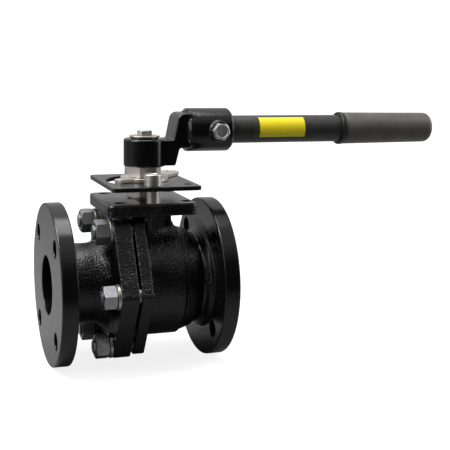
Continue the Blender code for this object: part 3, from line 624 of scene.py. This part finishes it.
def polygon_distance(u, v, points):
    best = np.full(u.shape, 1e12)
    inside = np.zeros(u.shape, bool)
    for (ax, ay), (bx, by) in zip(points, list(points[1:]) + [points[0]]):
        ex, ey = bx - ax, by - ay
        length = ex * ex + ey * ey
        if length < 1e-12:
            continue
        wu, wv = u - ax, v - ay
        t = np.clip((wu * ex + wv * ey) / length, 0, 1)
        best = np.minimum(best, (wu - ex * t) ** 2 + (wv - ey * t) ** 2)
        if abs(ey) > 1e-9:
            crosses = ((ay > v) != (by > v)) & (u < ex * wv / ey + ax)
            inside ^= crosses
    return np.where(inside, -1.0, 1.0) * np.sqrt(best)


def about_x(p, profile):
    return polygon_distance(p[:, 0], np.hypot(p[:, 1], p[:, 2]), profile)


def about_z(p, profile):
    return polygon_distance(p[:, 2], np.hypot(p[:, 0], p[:, 1]), profile)


def slabbed(flat, along, low, high, edge):
    """A flat distance carried between two planes, its rim rounded."""
    a = flat + edge
    b = np.abs(along - (low + high) / 2) - (high - low) / 2 + edge
    outside = np.hypot(np.maximum(a, 0), np.maximum(b, 0))
    return np.minimum(np.maximum(a, b), 0) + outside - edge


def rectangle(u, v, low_u, high_u, low_v, high_v, corner):
    a = np.abs(u - (low_u + high_u) / 2) - (high_u - low_u) / 2 + corner
    b = np.abs(v - (low_v + high_v) / 2) - (high_v - low_v) / 2 + corner
    return (np.minimum(np.maximum(a, b), 0)
            + np.hypot(np.maximum(a, 0), np.maximum(b, 0)) - corner)


def joined(a, b, fillet):
    h = np.clip(0.5 + 0.5 * (b - a) / fillet, 0, 1)
    return b + (a - b) * h - fillet * h * (1 - h)


def carved(a, b, edge=HOLE_EDGE):
    return -joined(-a, b, edge)


def rod(p, axis, centre, radius):
    u, v = [i for i in range(3) if i != axis]
    return np.hypot(p[:, u] - centre[0], p[:, v] - centre[1]) - radius


def joint_hexagon(p, flat, low, high):
    distance = (flat - JOINT_CORNER) / math.cos(math.radians(30))
    outline = []
    for angle in range(0, 360, 60):
        outline += arc(polar(distance, angle), JOINT_CORNER, angle - 30, angle + 30, 5)
    return slabbed(polygon_distance(p[:, 1], p[:, 2], outline), p[:, 0], low, high, JOINT_EDGE)


DEEP = -400.0                    # stands in for the far side of the axis in a turned profile


def solid_profile(*points):
    """Closed profile of a turned solid from (station, radius, rounding) points."""
    return rounded([(points[0][0], DEEP, 0), *points, (points[-1][0], DEEP, 0)], 5)


def bolt_holes(p, circle_radius, angles, radius, low, high):
    best = np.full(len(p), 1e9)
    for angle in angles:
        best = np.minimum(best, rod(p, 0, on_circle(circle_radius, angle), radius))
    return np.maximum(best, np.maximum(low - p[:, 0], p[:, 0] - high))


def body_distance(p):
    x, y, z = p.T
    back = OUTLET_FACE - FLANGE_THICKNESS
    hub_x, hub_radius = FLANGE_HUB
    shell = about_x(p, solid_profile(
        (BODY_JOINT[0] + 3, BARREL_RADIUS, 1), (BARREL_END, BARREL_RADIUS, 0.4),
        (BARREL_END + 1.0, BARREL_RADIUS - 1.7, 0.6), (*SHOULDER, 8),
        (BODY_NECK_X - 1, BODY_NECK, 4), (hub_x - 2, hub_radius - 3, 2.5),
        (hub_x, hub_radius, 2), (back, hub_radius + 0.6, 1.5),
        (back, FLANGE_RADIUS, FLANGE_EDGE), (OUTLET_FACE, FLANGE_RADIUS, FLANGE_EDGE)))
    solid = joined(shell, joint_hexagon(p, BODY_JOINT_FLAT, *BODY_JOINT), 5.0)
    pedestal = np.maximum(rod(p, 2, (0, 0), PEDESTAL_RADIUS), BODY_JOINT[0] + 1.5 - x)
    pedestal = np.maximum(pedestal, np.maximum(PEDESTAL_FOOT - z, z - PAD_Z[0] - 2))
    web = slabbed(rectangle(x, y, BODY_JOINT[0] + 1, 0, -38, 38, 4), z, 60, PAD_Z[0] + 1, 1)
    pad = slabbed(rectangle(x, y, *PAD_X, *PAD_Y, PAD_CORNER), z, *PAD_Z, 1.6)
    solid = joined(solid, joined(pedestal, web, 4.0), 8.0)
    solid = joined(solid, pad, 3.5)
    solid = np.where(z > PAD_Z[1] - 3, joined(np.full_like(z, 1e3), pad, 1.0), solid)

    low, high, radius = SHOULDER_POCKET
    box_floor, box = STUFFING_BOX
    holes = about_z(p, solid_profile(
        (low, radius, 0), (high, radius, 0), (high, STEM_BORE, 0), (box_floor, STEM_BORE, 0),
        (box_floor, box, 0), (PAD_Z[1] + PAST, box, 0)))
    for side in PILLAR_Y.values():
        screw_hole = rod(p, 2, (PILLAR_X, side), PILLAR_SCREW_RADIUS + GAP)
        holes = np.minimum(holes, np.maximum(screw_hole, PILLAR_SCREW_TIP - 1 - z))
    for u in (-PAD_BOLT_SQUARE, PAD_BOLT_SQUARE):
        for v in (-PAD_BOLT_SQUARE, PAD_BOLT_SQUARE):
            pad_hole = rod(p, 2, (u, v), PAD_BOLT_HOLE)
            holes = np.minimum(holes, np.maximum(pad_hole, PAD_Z[0] - 1 - z))
    spigot, seat = SPIGOT_RADIUS + GAP, SEAT_RADIUS + GAP
    cavity = about_x(p, solid_profile(
        (BODY_JOINT[0] - PAST, spigot, 0), (SPIGOT_POCKET_END, spigot, 0),
        (SPIGOT_POCKET_END, CAVITY_RADIUS, 0), (SEAT_X[0] - 1, CAVITY_RADIUS, 0),
        (SEAT_X[0] - 1, seat, 0), (SEAT_X[1] + GAP, seat, 0),
        (SEAT_X[1] + GAP, PORT_RADIUS, 0), (OUTLET_FACE + PAST, PORT_RADIUS, 0)))
    holes = np.minimum(holes, cavity)
    holes = np.minimum(holes, bolt_holes(p, PIPE_BOLT_CIRCLE, PIPE_BOLT_ANGLES, PIPE_BOLT_HOLE,
                                         back - 4, OUTLET_FACE + PAST))
    holes = np.minimum(holes, bolt_holes(p, STUD_CIRCLE, STUD_ANGLES, STUD_RADIUS + GAP,
                                         BODY_JOINT[0] - PAST, BODY_JOINT[1] + 4))
    return carved(solid, holes)


def adapter_distance(p):
    back = INLET_FACE + FLANGE_THICKNESS
    joint, joint_end = ADAPTER_JOINT
    start = joint - ADAPTER_FLARE_LENGTH
    rise = ADAPTER_FLARE - ADAPTER_NECK
    bend = (ADAPTER_FLARE_LENGTH ** 2 + rise ** 2) / (2 * rise)
    sweep = math.degrees(math.asin(ADAPTER_FLARE_LENGTH / bend))
    flare = [(a, b, 0) for a, b in arc((start, ADAPTER_NECK + bend), bend, 270, 270 + sweep, 8)]
    shell = about_x(p, solid_profile(
        (INLET_FACE, FLANGE_RADIUS, FLANGE_EDGE), (back, FLANGE_RADIUS, FLANGE_EDGE),
        (back, ADAPTER_NECK, 4.5), *flare, (joint + 3, ADAPTER_FLARE + 1, 0),
        (joint_end - 2, SPIGOT_RADIUS, 0), (SPIGOT_END, SPIGOT_RADIUS, 0.6)))
    hexed = joint_hexagon(p, ADAPTER_JOINT_FLAT, joint, joint_end)
    solid = np.where(p[:, 0] < joint_end - 3, joined(shell, hexed, 3.5),
                     np.minimum(shell, hexed))
    seat = SEAT_RADIUS + GAP
    cavity = about_x(p, solid_profile(
        (INLET_FACE - PAST, PORT_RADIUS, 0), (-SEAT_X[1] - GAP, PORT_RADIUS, 0),
        (-SEAT_X[1] - GAP, seat, 0), (-SEAT_X[0] + 1, seat, 0),
        (-SEAT_X[0] + 1, CAVITY_RADIUS, 0), (SPIGOT_END + PAST, CAVITY_RADIUS, 0)))
    holes = np.minimum(cavity, bolt_holes(p, PIPE_BOLT_CIRCLE, PIPE_BOLT_ANGLES, PIPE_BOLT_HOLE,
                                          INLET_FACE - PAST, back + 4))
    holes = np.minimum(holes, bolt_holes(p, STUD_CIRCLE, STUD_ANGLES, STUD_RADIUS + 1,
                                         joint - 6, joint_end + PAST))
    return carved(solid, holes)


def crank_distance(p):
    x, y, z = p.T
    hub = about_z(p, solid_profile((HUB_Z[0], HUB_RADIUS, 1.6), (HUB_Z[1], HUB_RADIUS, 2.0)))
    side = rounded([(4, ARM_BOTTOM, 0), (30.8, ARM_BOTTOM, 2.5), (35.4, 147.5, 4), (47, 147.5, 1),
                    (53, 152, 1), (53, 181, 1), (48, 184.8, 2), (34, 185.0, 8.5),
                    (28.3, 156.4, 2.5), (4, 156.4, 0)])
    arm = slabbed(polygon_distance(x, z, side), y, -ARM_HALF_WIDTH, ARM_HALF_WIDTH, 2.0)
    q = p - np.array([0, 0, TUBE_Z])
    start, end = SOCKET_X
    socket = about_x(q, solid_profile(
        (start, SOCKET_RADIUS - SOCKET_CHAMFER, 1), (start + SOCKET_CHAMFER, SOCKET_RADIUS, 2.5),
        (end - SOCKET_CHAMFER, SOCKET_RADIUS, 2.5), (end, SOCKET_RADIUS - SOCKET_CHAMFER, 1)))
    radius, reach = CROSS_BOSS
    boss = slabbed(rod(q, 1, (CROSS_BOLT_X, 0), radius), q[:, 1], -reach, reach, 1.2)
    solid = joined(joined(hub, arm, 1.2), joined(socket, boss, 2.0), 1.4)
    half = STEM_SQUARE / 2 + GAP
    square = slabbed(rectangle(x, y, -half, half, -half, half, 0.6), z,
                     HUB_Z[0] - PAST, HUB_Z[1] + PAST, 0.1)
    bore = np.maximum(rod(q, 0, (0, 0), TUBE_RADIUS + GAP), SOCKET_FLOOR - x)
    cross = rod(q, 1, (CROSS_BOLT_X, 0), CROSS_BOLT_RADIUS + GAP)
    return carved(solid, np.minimum(np.minimum(square, bore), cross), 0.7)


def gradient(distance, p, step=0.04):
    corners = np.array([(1, -1, -1), (-1, -1, 1), (-1, 1, -1), (1, 1, 1)], float)
    total = np.zeros_like(p)
    for corner in corners:
        total += corner * distance(p + corner * step)[:, None]
    length = np.linalg.norm(total, axis=1, keepdims=True)
    return total / np.maximum(length, 1e-9)


def cast_piece(name, node, body, distance, voxel, machined):
    """A CAD casting, evenly remeshed and moved onto its distance function's zero surface."""
    source = frame["nodes"][node].data.copy()
    source.transform(TO_WORLD.inverted())
    edited(source, lambda bm: bmesh.ops.remove_doubles(bm, verts=bm.verts, dist=0.002))

    def remesh(item):
        modifier = item.modifiers.new("even", 'REMESH')
        modifier.mode = 'VOXEL'
        modifier.voxel_size = voxel
        modifier.use_smooth_shade = True

    mesh = evaluated(source, add=remesh)
    points = np.empty(len(mesh.vertices) * 3, np.float32)
    mesh.vertices.foreach_get("co", points)
    points = points.reshape(-1, 3).astype(float)
    first = points.copy()
    longest_step, longest_drift = 1.2, 4.0
    for _ in range(5):
        step = distance(points)[:, None] * gradient(distance, points)
        points -= np.clip(step, -longest_step, longest_step)
        drift = points - first
        length = np.linalg.norm(drift, axis=1, keepdims=True)
        points = first + drift * np.minimum(1, longest_drift / np.maximum(length, 1e-9))
    mesh.vertices.foreach_set("co", points.astype(np.float32).ravel())
    normals = gradient(distance, points)
    mesh.materials.clear()
    mesh.materials.append(looks["cast"])
    mask = mesh.attributes.new("machined", 'FLOAT', 'POINT')
    mask.data.foreach_set("value", machined(points).astype(np.float32))
    mesh.transform(TO_WORLD)
    mesh.shade_smooth()
    mesh.normals_split_custom_set_from_vertices([tuple(n) for n in normals])
    mesh.name = name
    register(link(name, mesh), body, node)


def soft_step(value, low, high):
    t = np.clip((value - low) / (high - low), 0, 1)
    return t * t * (3 - 2 * t)


def body_machined(p):
    """Turned flange rim and faces, pad top and inner surfaces are smooth; the rest is as cast."""
    back = OUTLET_FACE - FLANGE_THICKNESS
    radius = np.hypot(p[:, 1], p[:, 2])
    flange = soft_step(p[:, 0], back - 2.5, back) * soft_step(radius, 60.0, 64.0)
    face = soft_step(p[:, 0], OUTLET_FACE - 2.5, OUTLET_FACE - 0.5)
    pad = soft_step(p[:, 2], PAD_Z[1] - 2.5, PAD_Z[1] - 0.5)
    inner = soft_step(-radius, -CAVITY_RADIUS - 1.5, 0.5 - CAVITY_RADIUS)
    return np.maximum(np.maximum(flange, face), np.maximum(pad, inner))


def adapter_machined(p):
    """Turned flange rim and face, and the bore, are smooth."""
    back = INLET_FACE + FLANGE_THICKNESS
    radius = np.hypot(p[:, 1], p[:, 2])
    flange = soft_step(-p[:, 0], -back - 2.5, -back) * soft_step(radius, 46.0, 50.0)
    face = soft_step(-p[:, 0], -INLET_FACE - 3.0, -INLET_FACE - 1.0)
    return np.maximum(np.maximum(flange, face), soft_step(-radius, -40.0, -38.0))


def crank_machined(p):
    """The lever casting is ground nearly smooth all over before it is painted."""
    return np.full(len(p), 0.88)


cast_piece("valve_body", "body_casting", "valve_body", body_distance, 1.3, body_machined)
cast_piece("inlet_adapter", "end_adapter", "valve_body", adapter_distance, 1.25, adapter_machined)
cast_piece("lever_crank", "lever_casting", "lever", crank_distance, 0.8, crank_machined)


# ---------------- joint studs, nuts, washers

def spring_washer(inner, outer, height):
    """Split washer along Z, its two ends a little out of line."""
    gap_angle, lift, steps, edge = 7.0, 0.22, 72, 0.45
    section = rounded([(inner, 0, edge), (outer, 0, edge), (outer, height - lift, edge),
                       (inner, height - lift, edge)], 3)
    rings = []
    for k in range(steps + 1):
        share = k / steps
        a = math.radians(gap_angle + (360 - 2 * gap_angle) * share)
        rings.append([(r * math.cos(a), r * math.sin(a), h + lift * share) for r, h in section])
    return edited(lofted(rings), face_outwards)


def joint_fasteners():
    """Studs, nuts and split washers, drawn along Z and laid along the flow axis."""
    inner, outer, thickness = SPRING_WASHER
    washer_x = ADAPTER_JOINT[0] - GAP - thickness
    nut_x = washer_x - GAP - NUT_HEIGHT
    nut = hex_solid(NUT_FLATS, NUT_HEIGHT, STUD_RADIUS + GAP)
    stud = threaded(STUD_RADIUS, 2.0, STUD_ENDS[1] - STUD_ENDS[0], 33.0)
    washer = spring_washer(inner, outer, thickness)
    to_plus_x, to_minus_x = rotate(90, 'Y'), rotate(-90, 'Y')
    for number, (angle, turn) in enumerate(zip(STUD_ANGLES, NUT_TURNS), 1):
        centre = move(0, *on_circle(STUD_CIRCLE, angle))
        # The quarter turn about X puts the hexagon's first corner on +Y, where `turn` starts.
        place = centre @ move(nut_x, 0, 0) @ rotate(turn, 'X') @ rotate(90, 'X') @ to_plus_x
        piece(f"stud_nut_{number}", copy_mesh(nut, place), "valve_body", looks["zinc"],
              f"joint_nut_{number}", 30, bevel=0.22)
        place = centre @ move(STUD_ENDS[1], 0, 0) @ to_minus_x
        piece(f"stud_{number}", copy_mesh(stud, place), "valve_body", looks["zinc"],
              f"joint_stud_{number}", 40, weighted=False)
        place = centre @ move(washer_x, 0, 0) @ rotate(angle + 60, 'X') @ to_plus_x
        piece(f"split_washer_{number}", copy_mesh(washer, place), "valve_body", looks["yellow"],
              f"spring_washer_{number}", 40)


joint_fasteners()


# ---------------- ball, gland, plate and pillars

def ball():
    half = math.degrees(math.asin(BALL_PORT / BALL_RADIUS))
    profile = arc((0, 0), BALL_RADIUS, 180 - half - 0.6, half + 0.6, 48)
    end = profile[-1][0]
    profile += [(end, BALL_PORT + 0.15), (end - 0.35, BALL_PORT)]
    profile += [(-end + 0.35, BALL_PORT), (-end, BALL_PORT + 0.15)]
    wide, floor_z, past = TANG_SLOT_HALF, TANG_SLOT_FLOOR, 60
    slot = prism_mesh(rounded([(-wide, floor_z, 1.0), (wide, floor_z, 1.0), (wide, past, 0),
                               (-wide, past, 0)], 4), -past, past)
    slot.transform(rotate(90, 'X'))
    shape = evaluated(turned(profile, "X", 128, closed=True), [('DIFFERENCE', slot)])
    piece("ball_polished", shape, "ball", looks["ball"], "ball", 30)


def gland():
    low, high = GLAND_HEX
    outer = STUFFING_BOX[1] - GAP
    hexed = hex_solid(GLAND_FLATS, high - low)
    hexed.transform(move(0, 0, low))
    skirt = turned([(GLAND_SKIRT, 0), (GLAND_SKIRT, outer), (low + 1, outer), (low + 1, 0)],
                   "Z", 64)
    spigot = prism_mesh(hexagon(GLAND_SPIGOT_FLATS, 0.4), high - 1, GLAND_SPIGOT_TOP)
    bore = turned([(GLAND_SKIRT - 1, 0), (GLAND_SKIRT - 1, STEM_BORE),
                   (GLAND_SPIGOT_TOP + 1, STEM_BORE), (GLAND_SPIGOT_TOP + 1, 0)], "Z", 64)
    shape = evaluated(hexed, [('UNION', skirt), ('UNION', spigot), ('DIFFERENCE', bore)])
    piece("gland", shape, "valve_body", looks["stainless"], "gland_nut", 30, bevel=0.25)


def arc_slot(radius, half_width, first, last, corner, steps=24):
    outer = arc((0, 0), radius + half_width, first, last, steps)
    inner = arc((0, 0), radius - half_width, last, first, steps)
    points = [(a, b, 0) for a, b in outer + inner]
    for i in (0, steps, steps + 1, 2 * steps + 1):
        points[i] = (*points[i][:2], corner)
    return rounded(points, 4)


def stop_plate():
    outline = box_outline(PLATE_HALF_X, PLATE_HALF_Y, PLATE_CORNER, 8)
    room = TAB_HALF_ANGLE + SLOT_END_ROOM
    holes = [hexagon(GLAND_SPIGOT_FLATS + 2 * GAP, 0.4),
             arc_slot(TAB_RADIUS, SLOT_HALF_WIDTH, TAB_ANGLE - TRAVEL - room,
                      TAB_ANGLE + room, 0.8)]
    holes += [circle((PILLAR_X, y), PILLAR_SCREW_RADIUS + GAP) for y in PILLAR_Y.values()]
    holes += [circle(polar(LOCK_HOLE_DISTANCE, angle), LOCK_HOLE_RADIUS)
              for angle in (LOCK_HOLE_ANGLE, LOCK_HOLE_ANGLE - TRAVEL)]
    piece("travel_plate", slab(outline, holes, *PLATE_Z, 0.55), "valve_body", looks["plate"],
          "stop_plate", 50)


def stem_hole():
    half = STEM_SQUARE / 2 + GAP
    return box_outline(half, half, 0.6, 3)


def stop_lever():
    outline = arc((0, 0), STOP_LEVER_RADIUS, -105, -4, 24) + [(30.0, 9.0)]
    lock_hole = polar(LOCK_HOLE_DISTANCE, LOCK_HOLE_ANGLE)
    outline += arc(lock_hole, LOCK_END_RADIUS, LOCK_HOLE_ANGLE - 80, LOCK_HOLE_ANGLE + 90, 20)
    outline += arc((0, 0), STOP_LEVER_RADIUS, LOCK_HOLE_ANGLE + 40, TAB_ANGLE - 16, 24)
    reach = TAB_RADIUS + TAB_HALF_WIDTH - 0.2
    outline += arc((0, 0), reach, TAB_ANGLE - TAB_HALF_ANGLE, TAB_ANGLE + TAB_HALF_ANGLE, 6)
    outline += arc((0, 0), STOP_LEVER_RADIUS, TAB_ANGLE + 20, 247, 4)
    blade = slab(outline, [stem_hole(), circle(lock_hole, LOCK_HOLE_RADIUS)], *STOP_LEVER_Z, 0.5)
    tab_outline = arc_slot(TAB_RADIUS, TAB_HALF_WIDTH - 0.25, TAB_ANGLE - TAB_HALF_ANGLE + 0.2,
                           TAB_ANGLE + TAB_HALF_ANGLE - 0.2, 0.6, 6)
    tab = slab(tab_outline, [], TAB_BOTTOM, STOP_LEVER_Z[0] + 1.2, 0.4)
    piece("travel_lever", evaluated(blade, [('UNION', tab)]), "lever", looks["stainless"],
          "stop_lever", 50)


def spacer():
    shape = slab(hexagon(GLAND_FLATS, 1.2), [stem_hole()], *SPACER_Z, 0.4)
    piece("hub_spacer", shape, "lever", looks["stainless"], "lever_spacer", 50)


def pillars():
    low, high, radius = PILLAR_SCREW_HEAD
    for place, y in PILLAR_Y.items():
        centre = (PILLAR_X, y, 0)
        sleeve = ring(PILLAR_SCREW_RADIUS + GAP, PILLAR_RADIUS, *PILLAR_Z, 64, 0.35, centre)
        piece(f"pillar_sleeve_{place}", sleeve, "valve_body", looks["stainless"],
              f"plate_pillar_{place}", 50)
        profile = rounded([(PILLAR_SCREW_TIP, 0, 0), (PILLAR_SCREW_TIP, PILLAR_SCREW_RADIUS, 0.6),
                           (low, PILLAR_SCREW_RADIUS, 0), (low, radius, 0.3),
                           (high, radius, 1.3), (high, 0, 0)], 4)
        socket = prism_mesh(hexagon(8.8, 0.1, 12), high - 5.5, high + 1)
        socket.transform(move(*centre))
        sink = turned([(high - 0.7, 0), (high - 0.7, 4.5), (high + 0.3, 5.5), (high + 0.3, 0)],
                      "Z", 48, centre)
        shape = evaluated(turned(profile, "Z", 72, centre),
                          [('DIFFERENCE', socket), ('DIFFERENCE', sink)])
        piece(f"cap_screw_{place}", shape, "valve_body", looks["stainless"],
              f"plate_screw_{place}", 30)


ball()
gland()
stop_plate()
stop_lever()
spacer()
pillars()


# ---------------- lever fasteners, tube, grip, label

def hex_bolt(name, node, flats, head_height, shank, length, pitch, place, recess=None):
    """Bolt with its head's seat at Z 0; the shank points down and starts inside the head."""
    shape = threaded(shank, pitch, length, length * 0.45, 0.8)
    shape.transform(rotate(180, 'X') @ move(0, 0, -head_height * 0.5))
    head = hex_solid(flats, head_height, chamfer_low=False, recess=recess)
    shape = evaluated(head, [('UNION', shape)])
    shape.transform(place)
    piece(name, shape, "lever", looks["bolt"], node, 30, bevel=0.18)


def hub_fasteners():
    bore = LEVER_BOLT_RADIUS + 0.6
    low, high, radius = LOCK_WASHER
    piece("hub_lock_washer", ring(bore, radius, low, high, 72, 0.25), "lever", looks["spring"],
          "lever_lock_washer", 50)
    low, high, radius = LEVER_WASHER
    piece("hub_washer", ring(bore, radius, low, high, 96, 0.45), "lever", looks["yellow"],
          "lever_washer", 50)
    low, high = LEVER_BOLT_HEAD
    hex_bolt("hub_bolt", "lever_bolt", LEVER_BOLT_FLATS, high - low, LEVER_BOLT_RADIUS,
             low - LEVER_BOLT_TIP + (high - low) / 2, 1.25, move(0, 0, low) @ rotate(-8, 'Z'))


def cross_bolt():
    face = CROSS_BOSS[1] + GAP
    hex_bolt("clamp_bolt", "handle_bolt", CROSS_BOLT_FLATS, CROSS_BOLT_HEAD, CROSS_BOLT_RADIUS,
             face * 2 + 12 + CROSS_BOLT_HEAD / 2, 1.5,
             move(CROSS_BOLT_X, -face, TUBE_Z) @ rotate(90, 'X') @ rotate(-8, 'Z'), (6.7, 0.5))
    nut = hex_solid(CROSS_BOLT_FLATS, CROSS_NUT_HEIGHT, CROSS_BOLT_RADIUS + GAP)
    nut.transform(move(CROSS_BOLT_X, face, TUBE_Z) @ rotate(-90, 'X') @ rotate(20, 'Z'))
    piece("clamp_nut", nut, "lever", looks["bolt"], "handle_bolt_nut", 30, bevel=0.2)


def tube():
    start, end = TUBE_ENDS
    outline = rounded([(start, TUBE_BORE, 0.4), (start, TUBE_RADIUS, 0.5),
                       (end, TUBE_RADIUS, 0.5), (end, TUBE_BORE, 0.4)], 3)
    stations = [(start + (end - start) * k / 40, TUBE_RADIUS) for k in range(1, 40)]
    outline = outline[:8] + stations + outline[8:]
    body = turned(outline, "X", 96, (0, 0, TUBE_Z), closed=True)
    hole, reach = CROSS_BOLT_RADIUS + GAP, 20
    cross = turned([(-reach, 0), (-reach, hole), (reach, hole), (reach, 0)],
                   "Y", 48, (CROSS_BOLT_X, 0, TUBE_Z))
    piece("lever_tube", evaluated(body, [('DIFFERENCE', cross)]), "lever", looks["tube"],
          "handle_tube", 40)


def grip():
    """Dipped sleeve: a thick lip at its mouth, a groove behind it, and a slight taper."""
    start, end = GRIP_ENDS
    wide, slim = GRIP_RADII
    neck = wide - 0.55
    outline = [(TUBE_ENDS[1] + GAP, 0.0), (TUBE_ENDS[1] + GAP, TUBE_RADIUS + GAP)]
    outline += rounded([
        (start, TUBE_RADIUS + GAP, 0.3), (start, GRIP_LIP, 1.3), (start + 4.6, GRIP_LIP, 0.9),
        (start + 5.4, neck, 0.5), (start + 7.0, neck, 0.5), (start + 8.2, wide, 0.8),
        (start + 60, (wide + slim) / 2, 300), (end, slim, 7.5), (end, 0, 0)], 8)
    dense = []
    for (a, b), (c, d) in zip(outline, outline[1:]):
        cuts = max(1, int(abs(c - a) / 6.0))
        dense += [(a + (c - a) * k / cuts, b + (d - b) * k / cuts) for k in range(cuts)]
    dense.append(outline[-1])
    piece("vinyl_sleeve", turned(dense, "X", 96, (0, 0, TUBE_Z)), "lever", looks["vinyl"],
          "handle_grip", 40)


def label():
    """Thin blank sticker with rounded corners, wrapped on the tube."""
    inner, outer = LABEL_RADII
    first, last = (math.radians(90 + a) for a in LABEL_SPAN)
    middle = (first + last) / 2
    half = (last - first) / 2 * outer
    centre = sum(LABEL_X) / 2
    reach = (LABEL_X[1] - LABEL_X[0]) / 2

    def wrap(bm):
        strips = 24
        for k in range(1, strips):
            bmesh.ops.bisect_plane(bm, geom=bm.verts[:] + bm.edges[:] + bm.faces[:],
                                   plane_co=(0, -half + 2 * half * k / strips, 0),
                                   plane_no=(0, 1, 0))
        for vert in bm.verts:
            angle = middle + vert.co.y / outer
            radius = inner + vert.co.z
            vert.co = Vector((centre + vert.co.x, radius * math.cos(angle),
                              TUBE_Z + radius * math.sin(angle)))

    flat = slab(box_outline(reach, half, 1.2, 5), [], 0, outer - inner, 0.12, 2)
    piece("blank_sticker", edited(flat, wrap), "lever", looks["label"], "handle_label", 50)


hub_fasteners()
cross_bolt()
tube()
grip()
label()


# ---------------- CAD nodes that stay

KEPT = {
    "graphite": ["body_gasket"],
    "ptfe": ["inlet_seat", "outlet_seat", "stem_thrust_washer", "packing_ring_lower",
             "packing_ring_middle", "packing_ring_upper"],
    "stainless": ["gland_ring", "stem"],
    "spring": ["disc_spring_lower", "disc_spring_upper"],
}
for look, nodes in KEPT.items():
    for node in nodes:
        materials = frame["nodes"][node].data.materials
        materials.clear()
        materials.append(looks[look])


# ---------------- floor, light and camera

def floor():
    """White for the camera, with the object's soft shadow; for every other ray a darker floor,
    painted darker still towards the front as painted shade in what the object reflects.
    """
    level, reach = cad_low.z, 30.0
    made = mesh_of([(-reach, -reach, level), (reach, -reach, level), (reach, reach, level),
                    (-reach, reach, level)], [(0, 1, 2, 3)])
    item = link("studio_floor", made)
    look, n = new_material("studio_paper", (0.3, 0.3, 0.3), 0.9, 0.0, 0.0)
    # Seen only in reflections: dark in front and lighter behind, painted shade for the object's
    # front faces.
    n.finish(n.mix(n.ramp(n.along("Y"), -0.55, 0.0), (0.03, 0.03, 0.03), (0.30, 0.30, 0.30)))
    paper = n.add("ShaderNodeBsdfDiffuse", Color=(0.30, 0.30, 0.30, 1.0))
    distance = n.add("ShaderNodeVectorMath")
    distance.operation = 'LENGTH'
    n.put(distance.inputs[0], n.stretched((1, 1, 0), (0.15, 0, 0)))
    glow = n.add("ShaderNodeEmission",
                 Strength=n.ramp(distance.outputs["Value"], 0.30, 0.75, 0.84, 1.0))
    both = n.add("ShaderNodeAddShader")
    n.put(both.inputs[0], paper.outputs[0])
    n.put(both.inputs[1], glow.outputs[0])
    nodes = n.tree.nodes
    n.for_camera(both, nodes["Principled BSDF"], nodes["Material Output"])
    made.materials.append(look)


def area_light(name, location, target, size, power):
    lamp = bpy.data.lights.new(name, 'AREA')
    lamp.shape = 'RECTANGLE'
    lamp.size, lamp.size_y = size
    lamp.energy = power
    item = link(name, lamp)
    item.location = location
    aim = Vector(target) - Vector(location)
    item.rotation_euler = aim.to_track_quat('-Z', 'Y').to_euler()
    item.visible_camera = False


def world():
    """White all round for the camera; what lights the object is dark in front of it."""
    made = bpy.data.worlds.new("studio")
    bpy.context.scene.world = made
    made.use_nodes = True
    made.node_tree.nodes.clear()
    n = Nodes(made.node_tree, "Generated")
    level = 0.03
    for axis, start, end, strength in (("Y", 0.0, 0.85, 0.52), ("Z", 0.45, 0.95, 0.55),
                                       ("X", -0.35, -0.95, 0.38), ("X", 0.55, 0.95, 0.8)):
        lobe = n.ramp(n.along(axis), start, end, 0.0, strength, smooth=True)
        level = n.math('ADD', lobe, level)
    lit = n.add("ShaderNodeBackground", Color=(1, 1, 1, 1), Strength=level)
    white = n.add("ShaderNodeBackground", Color=(1, 1, 1, 1), Strength=1.15)
    n.for_camera(white, lit, n.add("ShaderNodeOutputWorld"))


def camera():
    lens = bpy.data.cameras.new("camera")
    lens.sensor_width = 36.0
    lens.lens = 78.27
    lens.clip_start, lens.clip_end = 0.05, 100.0
    item = link("camera", lens)
    item.matrix_world = (move(-0.17514, -1.02907, 0.25756) @ rotate(-20.197, 'Z')
                         @ rotate(90 - 10.374, 'X') @ rotate(1.137, 'Z'))
    bpy.context.scene.camera = item


floor()
world()
camera()
area_light("top_softbox", (-0.70, -0.05, 1.20), (0.12, 0, 0), (0.8, 0.6), 19.0)
area_light("overhead_softbox", (0.10, 0.15, 1.35), (0.12, 0, 0), (0.9, 0.7), 9.0)
area_light("left_softbox", (-1.3, -0.25, 0.55), (0.1, 0, 0.05), (0.7, 0.8), 3.6)
area_light("right_softbox", (1.15, -0.20, 0.50), (0.1, 0, 0.10), (0.45, 1.1), 3.2)
bpy.context.scene.view_settings.view_transform = 'Standard'
bpy.context.scene.view_settings.look = 'None'
